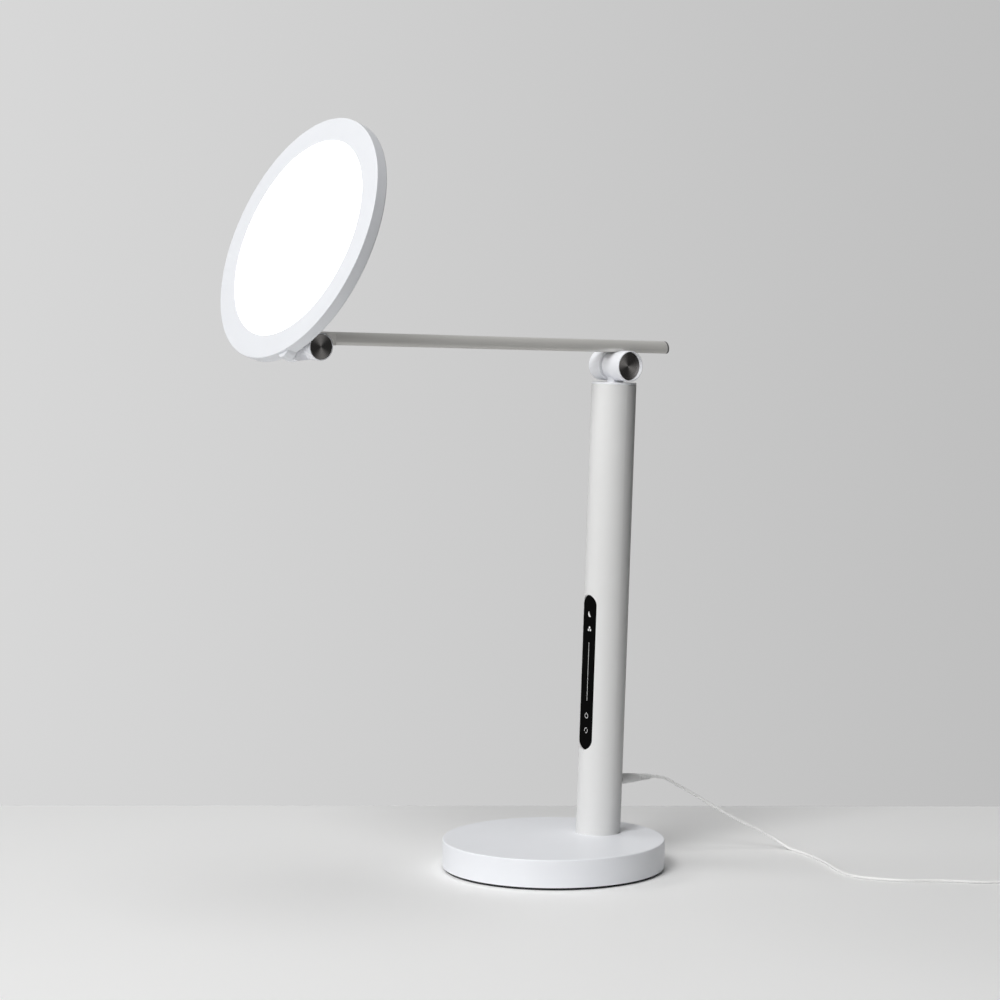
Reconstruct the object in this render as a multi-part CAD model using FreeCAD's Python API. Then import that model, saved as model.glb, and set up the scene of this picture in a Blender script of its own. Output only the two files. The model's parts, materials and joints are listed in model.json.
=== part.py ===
import FreeCAD, Part
import math
import os

# Light therapy lamp: a round weighted base, a stem that leans back a little, a flat arm on a
# friction shoulder, and a thin round light panel on a tilting and swivelling elbow.
# Millimetres and degrees. The origin is the middle of the base's underside, +Z is up, and the
# light faces -Y. Both hinges turn about X, and +X is the side of the shoulder pin's head.

# ---------------------------------------------------------------- driving dimensions
# Base
base_radius = 90.0
base_top = 24.2
pad_thickness = 2.1
pad_inset = 1.8
cover_wall = 2.5
cover_round = 1.0
plate_thickness = 2.0
weight_gap = 1.7
flange_margin = 10.1
flange_thickness = 6.0
boss_radius = 3.6
boss_gap = 0.6
base_screw_count = 4
base_screw_first_angle = 45.0
base_screw_length = 10.0
foot_bolt_edge = 7.0
foot_bolt_count = 3
foot_bolt_first_angle = 30.0
foot_bolt_radius = 2.0
foot_bolt_grip = 5.0
foot_bolt_sink = 1.0

# Stem
stem_edge = 45.1
stem_rake_angle = 2.25
stem_radius = 18.2
stem_wall = 2.2
stem_height = 366.5
spigot_height = 28.0
stem_screw_height = 14.0
neck_plug_depth = 20.0
neck_screw_drop = 11.0
neck_screw_angle = 32.0
stem_lip = 0.35
stem_screw_radius = 1.5
stem_screw_head = 2.8
stem_screw_length = 5.2
stem_screw_sink = 0.25
neck_wall = 3.6
neck_crown = 4.5
neck_chamfer = 0.3

# Touch panel and boards
panel_width = 17.3
panel_height = 126.8
panel_middle = 132.0
panel_thickness = 1.2
panel_ledge = 1.2
touch_board_height = 140.0
touch_spring_length = 3.6
board_thickness = 1.2
touch_spring_radius = 2.5
touch_spring_rises = (48.0, 36.0, 18.0, 0.5, -17.0, -35.0, -47.0)
carrier_gap = 1.0
carrier_margin = 4.1
bulkhead_thickness = 3.0
rail_width = 2.5
rail_gap = 0.8
main_board_gap = 6.0
main_board_length = 116.0
main_board_margin = 2.7
main_board_thickness = 1.6
rail_back = 1.0
harness_back = 6.0
board_screw_radius = 1.0
board_screw_head = 2.0
board_screw_head_height = 1.3
board_screw_grip = 4.0
board_screw_foot = 12.0
board_screw_top = 6.0

# Parts soldered on the main board: half width, depth, start and end above the board's foot
inductor = (5.0, 5.0, 28.0, 38.0)
processor = (4.0, 1.2, 64.0, 72.0)
led_driver = (3.0, 1.6, 80.0, 85.0)
connector = (4.0, 5.4, 102.0, 110.0)
capacitor_radius = 4.0
capacitor_depth = 7.0
capacitor_place = 50.0

# Power inlet and its plug
jack_height = 42.5
jack_radius = 4.0
jack_flange_radius = 5.8
jack_flange_thickness = 1.2
jack_flange_sink = 0.6
jack_length = 14.6
jack_bore = 2.8
jack_depth = 9.5
jack_pin_radius = 1.0
jack_pin_recess = 1.5
jack_nut_across = 11.0
jack_nut_height = 2.2
plug_radius = 4.6
plug_body_length = 18.2
plug_body_tip = 3.5
plug_sleeve_gap = 0.5
plug_relief_length = 14.2
plug_relief_radius = 3.2
plug_relief_tip = 2.3
plug_ribs = 6
plug_slot_width = 0.8
plug_core_radius = 2.05

# Shoulder hinge
shoulder_set_back = 1.0
shoulder_rise = 15.1
shoulder_radius = 12.4
shoulder_knuckle_radius = 10.4
shoulder_knuckle_half = 5.0
shoulder_web = 5.5
shoulder_end_gap = 0.6
shoulder_ring_width = 4.0
shoulder_ring_wall = 0.9
shoulder_pin_radius = 3.0
shoulder_pin_head_radius = 5.6
shoulder_pin_head_height = 3.0
shoulder_nut_across = 10.0
shoulder_nut_height = 2.6
shoulder_spring_height = 0.6
shoulder_pin_bore = 1.5
neck_flange_thickness = 1.5
neck_depth = 9.0

# Arm
bar_width = 20.0
bar_height = 10.1
bar_corner = 3.5
bar_crown = 6.4
bar_inner_corner = 0.3
bar_wall = 1.5
bar_clearance = 0.3
bar_tail = 45.0
arm_reach = 289.3
elbow_rise = 9.4
tail_cap_thickness = 1.5
tail_plug_depth = 8.0
cheek_screw_spread = 6.8
cheek_screw_pitch = 6.0
cheek_screw_radius = 1.0
cheek_screw_head = 1.5
cheek_screw_depth = 5.6

# Trim that both hinges share
cap_thickness = 1.2
cap_sink = 0.6
cap_chamfer = 0.2
ring_bevel = 0.4
pin_well_gap = 0.9
washer_margin = 0.6
spring_margin = 0.4

# Elbow hinge
elbow_radius = 10.4
elbow_knuckle_radius = 10.2
elbow_knuckle_half = 9.2
elbow_web = 2.1
elbow_end_gap = 0.2
elbow_ring_width = 0.9
elbow_ring_wall = 0.8
elbow_pin_radius = 2.5
elbow_pin_head_radius = 4.5
elbow_pin_head_height = 2.4
elbow_nut_across = 8.0
elbow_nut_height = 1.9
elbow_spring_height = 0.5
elbow_pin_bore = 1.1
elbow_screw_rise = 4.6
elbow_screw_grip = 3.6
block_seam = 13.8
block_seat = 4.0
block_plug_depth = 16.0
block_relief = 0.6
ear_round = 1.8

# Head bracket and head
head_lean_angle = 20.1
head_swivel_angle = 20.94
head_forward = 13.2
chin_drop = 10.07
chin_inset = 3.0
pad_radius = 6.8
bracket_pad_thickness = 3.1
bracket_half = 6.4
tongue_reach = 5.2
tongue_back = 2.0
tongue_sink = 0.3
swivel_washer_thickness = 0.6
swivel_pin_radius = 2.0
swivel_head_radius = 3.3
swivel_head_height = 2.3
swivel_pin_reach = 5.5
swivel_pin_bore = 1.0
swivel_washer_margin = 0.5
head_radius = 99.0
head_thickness = 9.5
head_rim_wall = 1.8
head_back_wall = 1.5
head_back_round = 1.0
bezel_thickness = 1.2
bezel_round = 0.4
bezel_width = 18.5
diffuser_recess = 0.3
optic_gap = 1.6
guide_margin = 2.0
spreader_thickness = 1.5
reflector_thickness = 0.3
guide_thickness = 3.6
led_strip_thickness = 1.2
led_count = 36
led_width = 3.0
led_height = 1.6
led_thickness = 0.23
led_gap = 0.02
lug_radius = 7.5
lug_tip_radius = 6.6
lug_depth = 7.6
bezel_boss_radius = 2.4
bezel_boss_gap = 0.8
head_screw_count = 6
chin_angle = -90.0
head_screw_tip = 1.2

# Fits
fit_gap = 0.1
running_gap = 0.05
free_gap = 0.3
washer_thickness = 0.5
thread_gap = 0.05
thread_runout = 0.4
wire_radius = 1.5
small_screw_radius = 1.2
small_screw_head = 2.4

# Cord: from the plug down to the table, then round to a coil and the wall adapter
cord_radius = 1.25
cord_first_run = 12.0
cord_fall = [
    (1.5, 126.5, 54.5),
    (6.0, 143.0, 44.5),
    (13.0, 157.5, 34.5),
    (22.0, 171.5, 25.0),
    (32.0, 186.5, 16.5),
    (41.5, 198.0, 8.5),
]
cord_on_table = [
    (53.0, 203.5),
    (70.0, 202.0),
    (95.0, 197.5),
    (124.0, 187.5),
    (150.0, 176.0),
    (172.0, 174.0),
    (190.0, 185.0),
    (205.0, 196.5),
    (214.0, 212.5),
    (227.0, 227.5),
    (240.5, 239.5),
]
cord_last_run = 16.0
coil_turns_across = 4
coil_turns_high = 3
coil_mean_radius = 14.0
coil_line_radius = 16.5
coil_stub = 13.0
coil_middle = (281.0, 268.0)
coil_entry_angle = 52.0
coil_tail_angle = 0.0
tie_width = 6.0
tie_thickness = 0.8
tie_slack = 0.6
tie_angle = 225.0
adapter_length = 52.0
adapter_width = 40.0
adapter_height = 28.0
adapter_round = 1.6
adapter_inlet_height = 4.2
adapter_relief_length = 9.0
adapter_relief_sink = 2.0
adapter_relief_radius = 3.8
adapter_relief_tip = 2.2
tail_run = 6.5
tail_rise_run = 7.8
tail_last_run = 7.8
tail_side_step = 1.5
coil_round = 1.1
blade_length = 16.0
blade_width = 6.3
blade_thickness = 1.5
blade_spacing = 12.7

# ---------------------------------------------------------------- sizes that follow
stem_set_back = base_radius - stem_edge
boss_circle_radius = base_radius - cover_wall - boss_gap - boss_radius
weight_radius = boss_circle_radius - boss_radius - weight_gap
flange_radius = stem_radius + flange_margin
foot_bolt_circle_radius = flange_radius - foot_bolt_edge

inner_radius = stem_radius - stem_wall
panel_face = math.sqrt(stem_radius ** 2 - (panel_width / 2) ** 2)
panel_back = panel_face - panel_thickness
touch_board_face = panel_back - touch_spring_length
rail_front = board_thickness - touch_board_face
rail_outer = math.sqrt((inner_radius - rail_gap) ** 2 - rail_front ** 2)
carrier_foot = spigot_height + carrier_gap
carrier_head = panel_middle + touch_board_height / 2 + carrier_margin + bulkhead_thickness
main_board_foot = jack_height + jack_radius + main_board_gap
main_board_head = main_board_foot + main_board_length
main_board_half = inner_radius - main_board_margin

shoulder_height = stem_height + shoulder_rise
shoulder_cap_radius = shoulder_radius - shoulder_ring_wall
shoulder_pin_seat = shoulder_knuckle_half + fit_gap + washer_thickness + shoulder_web
shoulder_cheek_end = (shoulder_pin_seat + 2 * shoulder_spring_height + shoulder_nut_height
                      + shoulder_end_gap + cap_sink)
bar_underside = shoulder_knuckle_radius + bar_clearance
elbow_cap_radius = elbow_radius - elbow_ring_wall
elbow_pin_seat = elbow_knuckle_half + fit_gap + washer_thickness + elbow_web
elbow_cheek_end = (elbow_pin_seat + 2 * elbow_spring_height + elbow_nut_height
                   + elbow_end_gap + cap_sink)

chin_offset = head_radius - chin_inset
light_radius = head_radius - bezel_width
bezel_boss_circle_radius = head_radius - head_rim_wall - bezel_boss_gap - bezel_boss_radius
optic_radius = bezel_boss_circle_radius - bezel_boss_radius - optic_gap
guide_radius = optic_radius - guide_margin

# ---------------------------------------------------------------- frames
V = FreeCAD.Vector
X_AXIS = V(1, 0, 0)
Y_AXIS = V(0, 1, 0)
Z_AXIS = V(0, 0, 1)
ORIGIN = V(0, 0, 0)


def step(offset, axis=X_AXIS, angle=0.0):
    """Placement that moves by offset and turns by angle about axis."""
    return FreeCAD.Placement(offset, FreeCAD.Rotation(axis, angle))


base_frame = step(ORIGIN)
stem_frame = step(V(0, stem_set_back, base_top), X_AXIS, -stem_rake_angle)
arm_frame = stem_frame.multiply(step(V(0, shoulder_set_back, shoulder_height)))
elbow_frame = arm_frame.multiply(step(V(0, -arm_reach, elbow_rise)))
tilt_frame = elbow_frame.multiply(step(ORIGIN, X_AXIS, -head_lean_angle))
chin_frame = tilt_frame.multiply(step(V(0, -head_forward, -chin_drop)))
head_frame = chin_frame.multiply(step(ORIGIN, Y_AXIS, -head_swivel_angle))

pieces = {}


def keep(name, frame, shape):
    """Puts a finished piece in its body's frame and keeps it under its node name."""
    placed = shape.copy()
    placed.Placement = frame.multiply(placed.Placement)
    pieces[name] = placed


# ---------------------------------------------------------------- plain solids
def x_rod(radius, x_from, x_to, y=0.0, z=0.0):
    return Part.makeCylinder(radius, x_to - x_from, V(x_from, y, z), X_AXIS)


def y_rod(radius, y_from, y_to, x=0.0, z=0.0):
    return Part.makeCylinder(radius, y_to - y_from, V(x, y_from, z), Y_AXIS)


def z_rod(radius, z_from, z_to, x=0.0, y=0.0):
    return Part.makeCylinder(radius, z_to - z_from, V(x, y, z_from), Z_AXIS)


def x_ring(outer, inner, x_from, x_to):
    return x_rod(outer, x_from, x_to).cut(x_rod(inner, x_from, x_to))


def y_ring(outer, inner, y_from, y_to, z=0.0):
    return y_rod(outer, y_from, y_to, 0, z).cut(y_rod(inner, y_from, y_to, 0, z))


def slab(x_from, x_to, y_from, y_to, z_from, z_to):
    return Part.makeBox(x_to - x_from, y_to - y_from, z_to - z_from, V(x_from, y_from, z_from))


def hex_nut(across, x_from, x_to, bore):
    """Hexagon nut lying along X."""
    corner = across / math.sqrt(3)
    points = []
    for side in range(7):
        angle = math.radians(60 * side)
        points.append(V(x_from, corner * math.cos(angle), corner * math.sin(angle)))
    face = Part.Face(Part.makePolygon(points))
    return face.extrude(V(x_to - x_from, 0, 0)).cut(x_rod(bore, x_from, x_to))


def rounded_bar(width, height, corner, crown, y_from, y_to, z_middle):
    """Bar along Y with its lower long edges rounded by corner and its upper ones by crown."""
    bar = slab(-width / 2, width / 2, y_from, y_to, z_middle - height / 2, z_middle + height / 2)
    for radius, level in ((crown, z_middle + height / 2), (corner, z_middle - height / 2)):
        long_edges = [edge for edge in bar.Edges
                      if abs(edge.tangentAt(0).y) > 0.9
                      and abs(edge.CenterOfMass.z - level) < 0.01
                      and abs(abs(edge.CenterOfMass.x) - width / 2) < 0.01]
        bar = bar.makeFillet(radius, long_edges)
    return bar


def upright_obround(width, height, y_from, y_to, z_middle):
    """Plate in the XZ plane with round ends, as thick as y_to - y_from."""
    half = height / 2 - width / 2
    body = slab(-width / 2, width / 2, y_from, y_to, z_middle - half, z_middle + half)
    top = y_rod(width / 2, y_from, y_to, 0, z_middle + half)
    bottom = y_rod(width / 2, y_from, y_to, 0, z_middle - half)
    return body.fuse(top).fuse(bottom).removeSplitter()


def flat_screw(head_radius, shank_radius, length):
    """Countersunk screw along -Z with its flat head at Z = 0."""
    head = Part.makeCone(shank_radius, head_radius, head_radius - shank_radius,
                         V(0, 0, shank_radius - head_radius), Z_AXIS)
    return head.fuse(z_rod(shank_radius, -length, shank_radius - head_radius))


def cap_screw(head_radius, head_height, shank_radius, length):
    """Cylinder-head screw along -Z; the head stands on Z = 0 and has a hexagon socket."""
    socket = z_rod(head_radius * 0.45, head_height * 0.4, head_height)
    head = z_rod(head_radius, 0, head_height).cut(socket)
    return head.fuse(z_rod(shank_radius, -length, 0))


def turned(shape, axis, angle, offset):
    """Copy of a shape turned about the origin and then moved."""
    copy = shape.copy()
    copy.Placement = step(offset, axis, angle)
    return copy


def around(count, first=0.0):
    """Angles of count equal steps round a circle."""
    return [first + 360.0 * index / count for index in range(count)]


def polar(radius, angle, z=0.0):
    return V(radius * math.cos(math.radians(angle)), radius * math.sin(math.radians(angle)), z)


# ---------------------------------------------------------------- base
plate_top = pad_thickness + plate_thickness
cover_ceiling = base_top - cover_wall
weight_top = cover_ceiling - flange_thickness
spigot_radius = inner_radius - fit_gap
boss_angles = around(base_screw_count, base_screw_first_angle)
foot_bolt_angles = around(foot_bolt_count, foot_bolt_first_angle)
foot_bolt_head_radius = foot_bolt_radius * 1.75
foot_bolt_head_height = foot_bolt_radius * 2.0


def make_base_cover():
    outside = z_rod(base_radius, pad_thickness, base_top)
    top_edge = [edge for edge in outside.Edges
                if abs(edge.CenterOfMass.z - base_top) < 0.01]
    outside = outside.makeFillet(cover_round, top_edge)
    cover = outside.cut(z_rod(base_radius - cover_wall, pad_thickness, cover_ceiling))
    for angle in boss_angles:
        middle = polar(boss_circle_radius, angle)
        boss = z_rod(boss_radius, plate_top, cover_ceiling + cover_wall / 2, middle.x, middle.y)
        pilot = z_rod(small_screw_radius + thread_gap, plate_top,
                      pad_thickness + base_screw_length + thread_runout, middle.x,
                      middle.y)
        cover = cover.fuse(boss).cut(pilot)
    hole = z_rod(spigot_radius + free_gap, -flange_thickness, cover_wall * 2)
    hole.Placement = stem_frame
    return cover.cut(hole)


def make_base_plate():
    plate = z_rod(base_radius - cover_wall - free_gap, pad_thickness, plate_top)
    head = small_screw_head + fit_gap
    for angle in boss_angles:
        cutter = flat_screw(head, small_screw_radius + fit_gap, plate_thickness * 2)
        plate = plate.cut(turned(cutter, X_AXIS, 180, polar(boss_circle_radius, angle, pad_thickness)))
    return plate


def make_base_screws():
    screws = []
    for angle in boss_angles:
        screw = flat_screw(small_screw_head, small_screw_radius, base_screw_length)
        screws.append(turned(screw, X_AXIS, 180, polar(boss_circle_radius, angle, pad_thickness)))
    return Part.makeCompound(screws)


def foot_bolt_places(z):
    return [V(0, stem_set_back, 0) + polar(foot_bolt_circle_radius, angle, z)
            for angle in foot_bolt_angles]


bolt_head_depth = foot_bolt_head_height + foot_bolt_sink


def make_base_weight():
    weight = z_rod(weight_radius, plate_top, weight_top)
    for place in foot_bolt_places(plate_top):
        shank = z_rod(foot_bolt_radius + free_gap, plate_top, weight_top, place.x, place.y)
        head = z_rod(foot_bolt_head_radius + free_gap, plate_top, plate_top + bolt_head_depth,
                     place.x, place.y)
        weight = weight.cut(shank).cut(head)
    return weight


def make_foot_bolts():
    length = weight_top - plate_top - bolt_head_depth + foot_bolt_grip
    bolt = cap_screw(foot_bolt_head_radius, foot_bolt_head_height, foot_bolt_radius, length)
    return Part.makeCompound([turned(bolt, X_AXIS, 180, place)
                              for place in foot_bolt_places(plate_top + bolt_head_depth)])


def make_stem_foot():
    flange = z_rod(flange_radius, weight_top, cover_ceiling, 0, stem_set_back)
    spigot = z_rod(spigot_radius, -cover_wall - flange_thickness / 2, spigot_height)
    spigot = spigot.cut(stem_screw_cutter(0.0, stem_screw_height))
    spigot.Placement = stem_frame
    foot = flange.fuse(spigot)
    for place in foot_bolt_places(weight_top):
        foot = foot.cut(z_rod(foot_bolt_radius + thread_gap, weight_top,
                              weight_top + foot_bolt_grip + thread_runout, place.x, place.y))
    return foot


# ---------------------------------------------------------------- stem
neck_screw_height = stem_height - neck_screw_drop


def radial(shape, angle, height):
    """Turns a screw or cutter made along -Z so that it points at the stem's axis.

    The angle is measured about the stem from its back."""
    lying = shape.copy()
    lying.rotate(ORIGIN, X_AXIS, -90)
    lying.translate(V(0, stem_radius - stem_screw_sink, height))
    lying.rotate(ORIGIN, Z_AXIS, angle)
    return lying


def stem_screw_cutter(angle, height):
    sunk = flat_screw(stem_screw_head + fit_gap, stem_screw_radius + thread_gap,
                      stem_screw_length + thread_runout)
    mouth = z_rod(stem_screw_head + fit_gap, 0, 2)
    return radial(sunk.fuse(mouth), angle, height)


stem_screw_places = [(0.0, stem_screw_height),
                     (neck_screw_angle, neck_screw_height),
                     (-neck_screw_angle, neck_screw_height)]


def make_stem_screws():
    screw = flat_screw(stem_screw_head, stem_screw_radius, stem_screw_length)
    return Part.makeCompound([radial(screw, angle, height)
                              for angle, height in stem_screw_places])


def make_stem_tube():
    tube = z_rod(stem_radius, -cover_wall, stem_height).cut(z_rod(inner_radius, -cover_wall,
                                                                  stem_height))
    lip = Part.makeCone(stem_radius - stem_lip, stem_radius, stem_lip, V(0, 0, stem_height),
                        V(0, 0, -1))
    tube = tube.cut(z_rod(stem_radius, stem_height - stem_lip, stem_height).cut(lip))
    below_base = slab(-base_radius, base_radius, -base_radius, base_radius, -base_top, base_top)
    below_base.Placement = stem_frame.inverse()
    tube = tube.cut(below_base)
    recess = upright_obround(panel_width, panel_height, -stem_radius - 1, -panel_back,
                             panel_middle)
    window = upright_obround(panel_width - 2 * panel_ledge, panel_height - 2 * panel_ledge,
                             -stem_radius - 1, 0, panel_middle)
    tube = tube.cut(recess).cut(window)
    tube = tube.cut(y_rod(jack_radius + fit_gap, 0, stem_radius + 1, 0, jack_height))
    tube = tube.cut(y_rod(jack_flange_radius + fit_gap, jack_seat, stem_radius + 1, 0,
                          jack_height))
    for angle, height in stem_screw_places:
        tube = tube.cut(stem_screw_cutter(angle, height))
    return tube


def make_touch_panel():
    """Flat plate, flush with the stem along both long sides and sunk at its middle."""
    return upright_obround(panel_width - 2 * fit_gap, panel_height - 2 * fit_gap,
                           -panel_face, -panel_back, panel_middle)


def make_touch_board():
    half = math.sqrt((inner_radius - fit_gap) ** 2 - touch_board_face ** 2)
    return slab(-half, half, -touch_board_face, board_thickness - touch_board_face,
                panel_middle - touch_board_height / 2, panel_middle + touch_board_height / 2)


def make_touch_springs():
    return Part.makeCompound([y_rod(touch_spring_radius, -panel_back, -touch_board_face, 0,
                                    panel_middle + rise) for rise in touch_spring_rises])


def make_board_carrier():
    carrier = None
    for side in (-1, 1):
        inner = side * (rail_outer - rail_width)
        outer = side * rail_outer
        rail = slab(min(inner, outer), max(inner, outer), rail_front, rail_back,
                    carrier_foot, carrier_head)
        carrier = rail if carrier is None else carrier.fuse(rail)
    for foot in (carrier_foot, carrier_head - bulkhead_thickness):
        disc = z_rod(inner_radius - fit_gap, foot, foot + bulkhead_thickness)
        passage = z_rod(wire_radius + 1, foot, foot + bulkhead_thickness, 0, harness_back)
        carrier = carrier.fuse(disc).cut(passage)
    for place in board_screw_places():
        carrier = carrier.cut(y_rod(board_screw_radius + thread_gap,
                                    rail_back - board_screw_grip - thread_runout, rail_back,
                                    place.x, place.z))
    return carrier


def board_screw_places():
    x = rail_outer - rail_width / 2
    return [V(side * x, rail_back, height) for side in (-1, 1)
            for height in (main_board_foot + board_screw_foot, main_board_head - board_screw_top)]


def make_main_board():
    """Circuit board with its inductor, capacitor, processor and lamp connector soldered on."""
    back = rail_back + main_board_thickness
    board = slab(-main_board_half, main_board_half, rail_back, back,
                 main_board_foot, main_board_head)
    for half, depth, start, end in (inductor, processor, led_driver, connector):
        board = board.fuse(slab(-half, half, back, back + depth,
                                main_board_foot + start, main_board_foot + end))
    board = board.fuse(y_rod(capacitor_radius, back, back + capacitor_depth, 0,
                             main_board_foot + capacitor_place))
    for place in board_screw_places():
        board = board.cut(y_rod(board_screw_radius + free_gap, rail_back, back,
                                place.x, place.z))
    return board


def make_board_screws():
    screw = cap_screw(board_screw_head, board_screw_head_height, board_screw_radius,
                      main_board_thickness + board_screw_grip)
    return Part.makeCompound([turned(screw, X_AXIS, -90,
                                     place + V(0, main_board_thickness, 0))
                              for place in board_screw_places()])


def make_stem_harness():
    return z_rod(wire_radius, main_board_foot + connector[3], neck_hollow_top - fit_gap, 0,
                 harness_back)


# ---------------------------------------------------------------- power inlet and plug
jack_seat = stem_radius - jack_flange_sink
jack_face = jack_seat + jack_flange_thickness
plug_face = jack_face + free_gap
plug_end = plug_face + plug_body_length + plug_relief_length


def make_dc_jack():
    body = y_rod(jack_radius, jack_face - jack_length, jack_face, 0, jack_height)
    flange = y_rod(jack_flange_radius, jack_seat, jack_face, 0, jack_height)
    bore = y_rod(jack_bore, jack_face - jack_depth, jack_face, 0, jack_height)
    pin = y_rod(jack_pin_radius, jack_face - jack_depth, jack_face - jack_pin_recess, 0,
                jack_height)
    return body.fuse(flange).cut(bore).fuse(pin)


def make_jack_nut():
    nut = hex_nut(jack_nut_across, -jack_nut_height, 0, jack_radius + thread_gap)
    corner = jack_nut_across / math.sqrt(3)
    seat = math.sqrt(inner_radius ** 2 - corner ** 2) - fit_gap
    return turned(nut, Z_AXIS, 90, V(0, seat, jack_height))


def make_dc_plug():
    """Moulded plug: sleeve, tapered grip and a ribbed strain relief."""
    sleeve = y_rod(jack_bore - fit_gap, jack_face - jack_depth + plug_sleeve_gap, plug_face, 0,
                   jack_height)
    sleeve = sleeve.cut(y_rod(jack_pin_radius + free_gap, jack_face - jack_depth, plug_face, 0,
                              jack_height))
    grip = Part.makeCone(plug_radius, plug_body_tip, plug_body_length,
                         V(0, plug_face, jack_height), Y_AXIS)
    relief_start = plug_face + plug_body_length
    relief = Part.makeCone(plug_relief_radius, plug_relief_tip, plug_relief_length,
                           V(0, relief_start, jack_height), Y_AXIS)
    pitch = plug_relief_length / plug_ribs
    for rib in range(1, plug_ribs):
        slot_from = relief_start + pitch * rib - plug_slot_width
        slot = y_ring(plug_radius, plug_core_radius, slot_from, slot_from + plug_slot_width,
                      jack_height)
        relief = relief.cut(slot)
    return sleeve.fuse(grip).fuse(relief)


# ---------------------------------------------------------------- neck
neck_hollow_top = stem_height - neck_crown


def make_neck():
    """Cap of the stem with the shoulder's fixed middle knuckle."""
    plug = z_rod(inner_radius - fit_gap, stem_height - neck_plug_depth, stem_height)
    plug = plug.cut(z_rod(inner_radius - neck_wall, stem_height - neck_plug_depth, neck_hollow_top))
    flange = z_rod(stem_radius, stem_height, stem_height + neck_flange_thickness)
    rims = [edge for edge in flange.Edges if edge.Length > 6 * stem_radius]
    flange = flange.makeChamfer(neck_chamfer, rims)
    post = slab(-shoulder_knuckle_half, shoulder_knuckle_half,
                shoulder_set_back - neck_depth / 2, shoulder_set_back + neck_depth / 2,
                stem_height + neck_flange_thickness / 2, shoulder_height)
    knuckle = x_rod(shoulder_knuckle_radius, -shoulder_knuckle_half, shoulder_knuckle_half,
                    shoulder_set_back, shoulder_height)
    neck = plug.fuse(flange).fuse(post).fuse(knuckle)
    bore = x_rod(shoulder_pin_radius + running_gap, -shoulder_radius, shoulder_radius,
                 shoulder_set_back, shoulder_height)
    wire_way = z_rod(wire_radius, stem_height - neck_plug_depth, shoulder_height, 0,
                     shoulder_set_back)
    neck = neck.cut(bore).cut(wire_way)
    for angle, height in stem_screw_places[1:]:
        neck = neck.cut(stem_screw_cutter(angle, height))
    return neck


# ---------------------------------------------------------------- hinge hardware
def cheek_start(knuckle_half):
    """Inner face of a hinge's moving cheek: the knuckle, a running gap and a washer."""
    return knuckle_half + fit_gap + washer_thickness


def make_cheek(radius, knuckle_half, end, pin_radius, seat, well_radius, cap_radius):
    """Plain moving cheek on the +X side of a hinge, before it is fitted to the arm."""
    cheek = x_rod(radius, cheek_start(knuckle_half), end)
    cheek = cheek.cut(x_rod(pin_radius + running_gap, 0, end))
    cheek = cheek.cut(x_rod(well_radius, seat, end))
    return cheek.cut(x_rod(cap_radius + fit_gap, end - cap_sink, end))


def make_pin(pin_radius, seat, head_radius, head_height, far_end, wire_bore):
    """Hollow hinge pin: a domed head on the +X side, a threaded end on the -X side."""
    shank = x_rod(pin_radius, -far_end, seat)
    head = x_rod(head_radius, seat, seat + head_height)
    outer = [edge for edge in head.Edges
             if abs(edge.CenterOfMass.x - seat - head_height) < 0.01]
    head = head.makeFillet(head_height * 0.4, outer)
    return shank.fuse(head).cut(x_rod(wire_bore, -far_end, seat + head_height / 2))


def both_sides(near):
    """A piece of the +X side together with its mirror image."""
    return Part.makeCompound([near, near.mirror(ORIGIN, X_AXIS)])


def make_washers(knuckle_half, outer, pin_radius):
    inner_face = knuckle_half + fit_gap
    return both_sides(x_ring(outer, pin_radius + running_gap, inner_face,
                             inner_face + washer_thickness))


def make_spring_washers(seat, outer, pin_radius, height):
    """Two cupped spring washers under the nut, mouth to mouth."""
    cups = []
    for outward in (0, 1):
        start = -seat - height * (outward + 1)
        wide = Part.makeCone(outer * 0.8, outer, height, V(start, 0, 0), X_AXIS)
        if outward == 0:
            wide = Part.makeCone(outer, outer * 0.8, height, V(start, 0, 0), X_AXIS)
        cups.append(wide.cut(x_rod(pin_radius + running_gap, start, start + height)))
    return Part.makeCompound(cups)


def make_cap(end, cap_radius):
    """Turned end cap, sunk in the cheek and its ring."""
    cap = x_rod(cap_radius, end - cap_sink, end - cap_sink + cap_thickness)
    outer = [edge for edge in cap.Edges if abs(edge.CenterOfMass.x - end + cap_sink
                                               - cap_thickness) < 0.01]
    return cap.makeChamfer(cap_chamfer, outer)


def make_ring(radius, end, ring_width, cap_radius):
    """Bevelled bright ring round the end cap."""
    ring = x_rod(radius, end, end + ring_width - ring_bevel)
    ring = ring.fuse(Part.makeCone(radius, radius - ring_bevel, ring_bevel,
                                   V(end + ring_width - ring_bevel, 0, 0), X_AXIS))
    return ring.cut(x_rod(cap_radius + fit_gap, end, end + ring_width))


def keep_hinge(prefix, frame, radius, knuckle_half, knuckle_radius, end, ring_width, cap_radius,
               pin_radius, seat, head_radius, head_height, nut_across, nut_height,
               spring_height, wire_bore):
    """Keeps the pieces that a hinge's moving side carries, apart from its cheeks."""
    nut_seat = seat + 2 * spring_height
    far_end = nut_seat + nut_height
    pin = make_pin(pin_radius, seat, head_radius, head_height, far_end, wire_bore)
    keep(prefix + "_pin", frame, pin)
    keep(prefix + "_washers", frame, make_washers(knuckle_half, knuckle_radius - washer_margin,
                                              pin_radius))
    keep(prefix + "_spring_washers", frame,
         make_spring_washers(seat, nut_across / 2 + spring_margin, pin_radius, spring_height))
    nut = hex_nut(nut_across, -far_end, -nut_seat, pin_radius + thread_gap)
    keep(prefix + "_nut", frame, nut)
    cap = make_cap(end, cap_radius)
    ring = make_ring(radius, end, ring_width, cap_radius)
    keep(prefix + "_caps", frame, both_sides(cap))
    keep(prefix + "_rings", frame, both_sides(ring))


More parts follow.
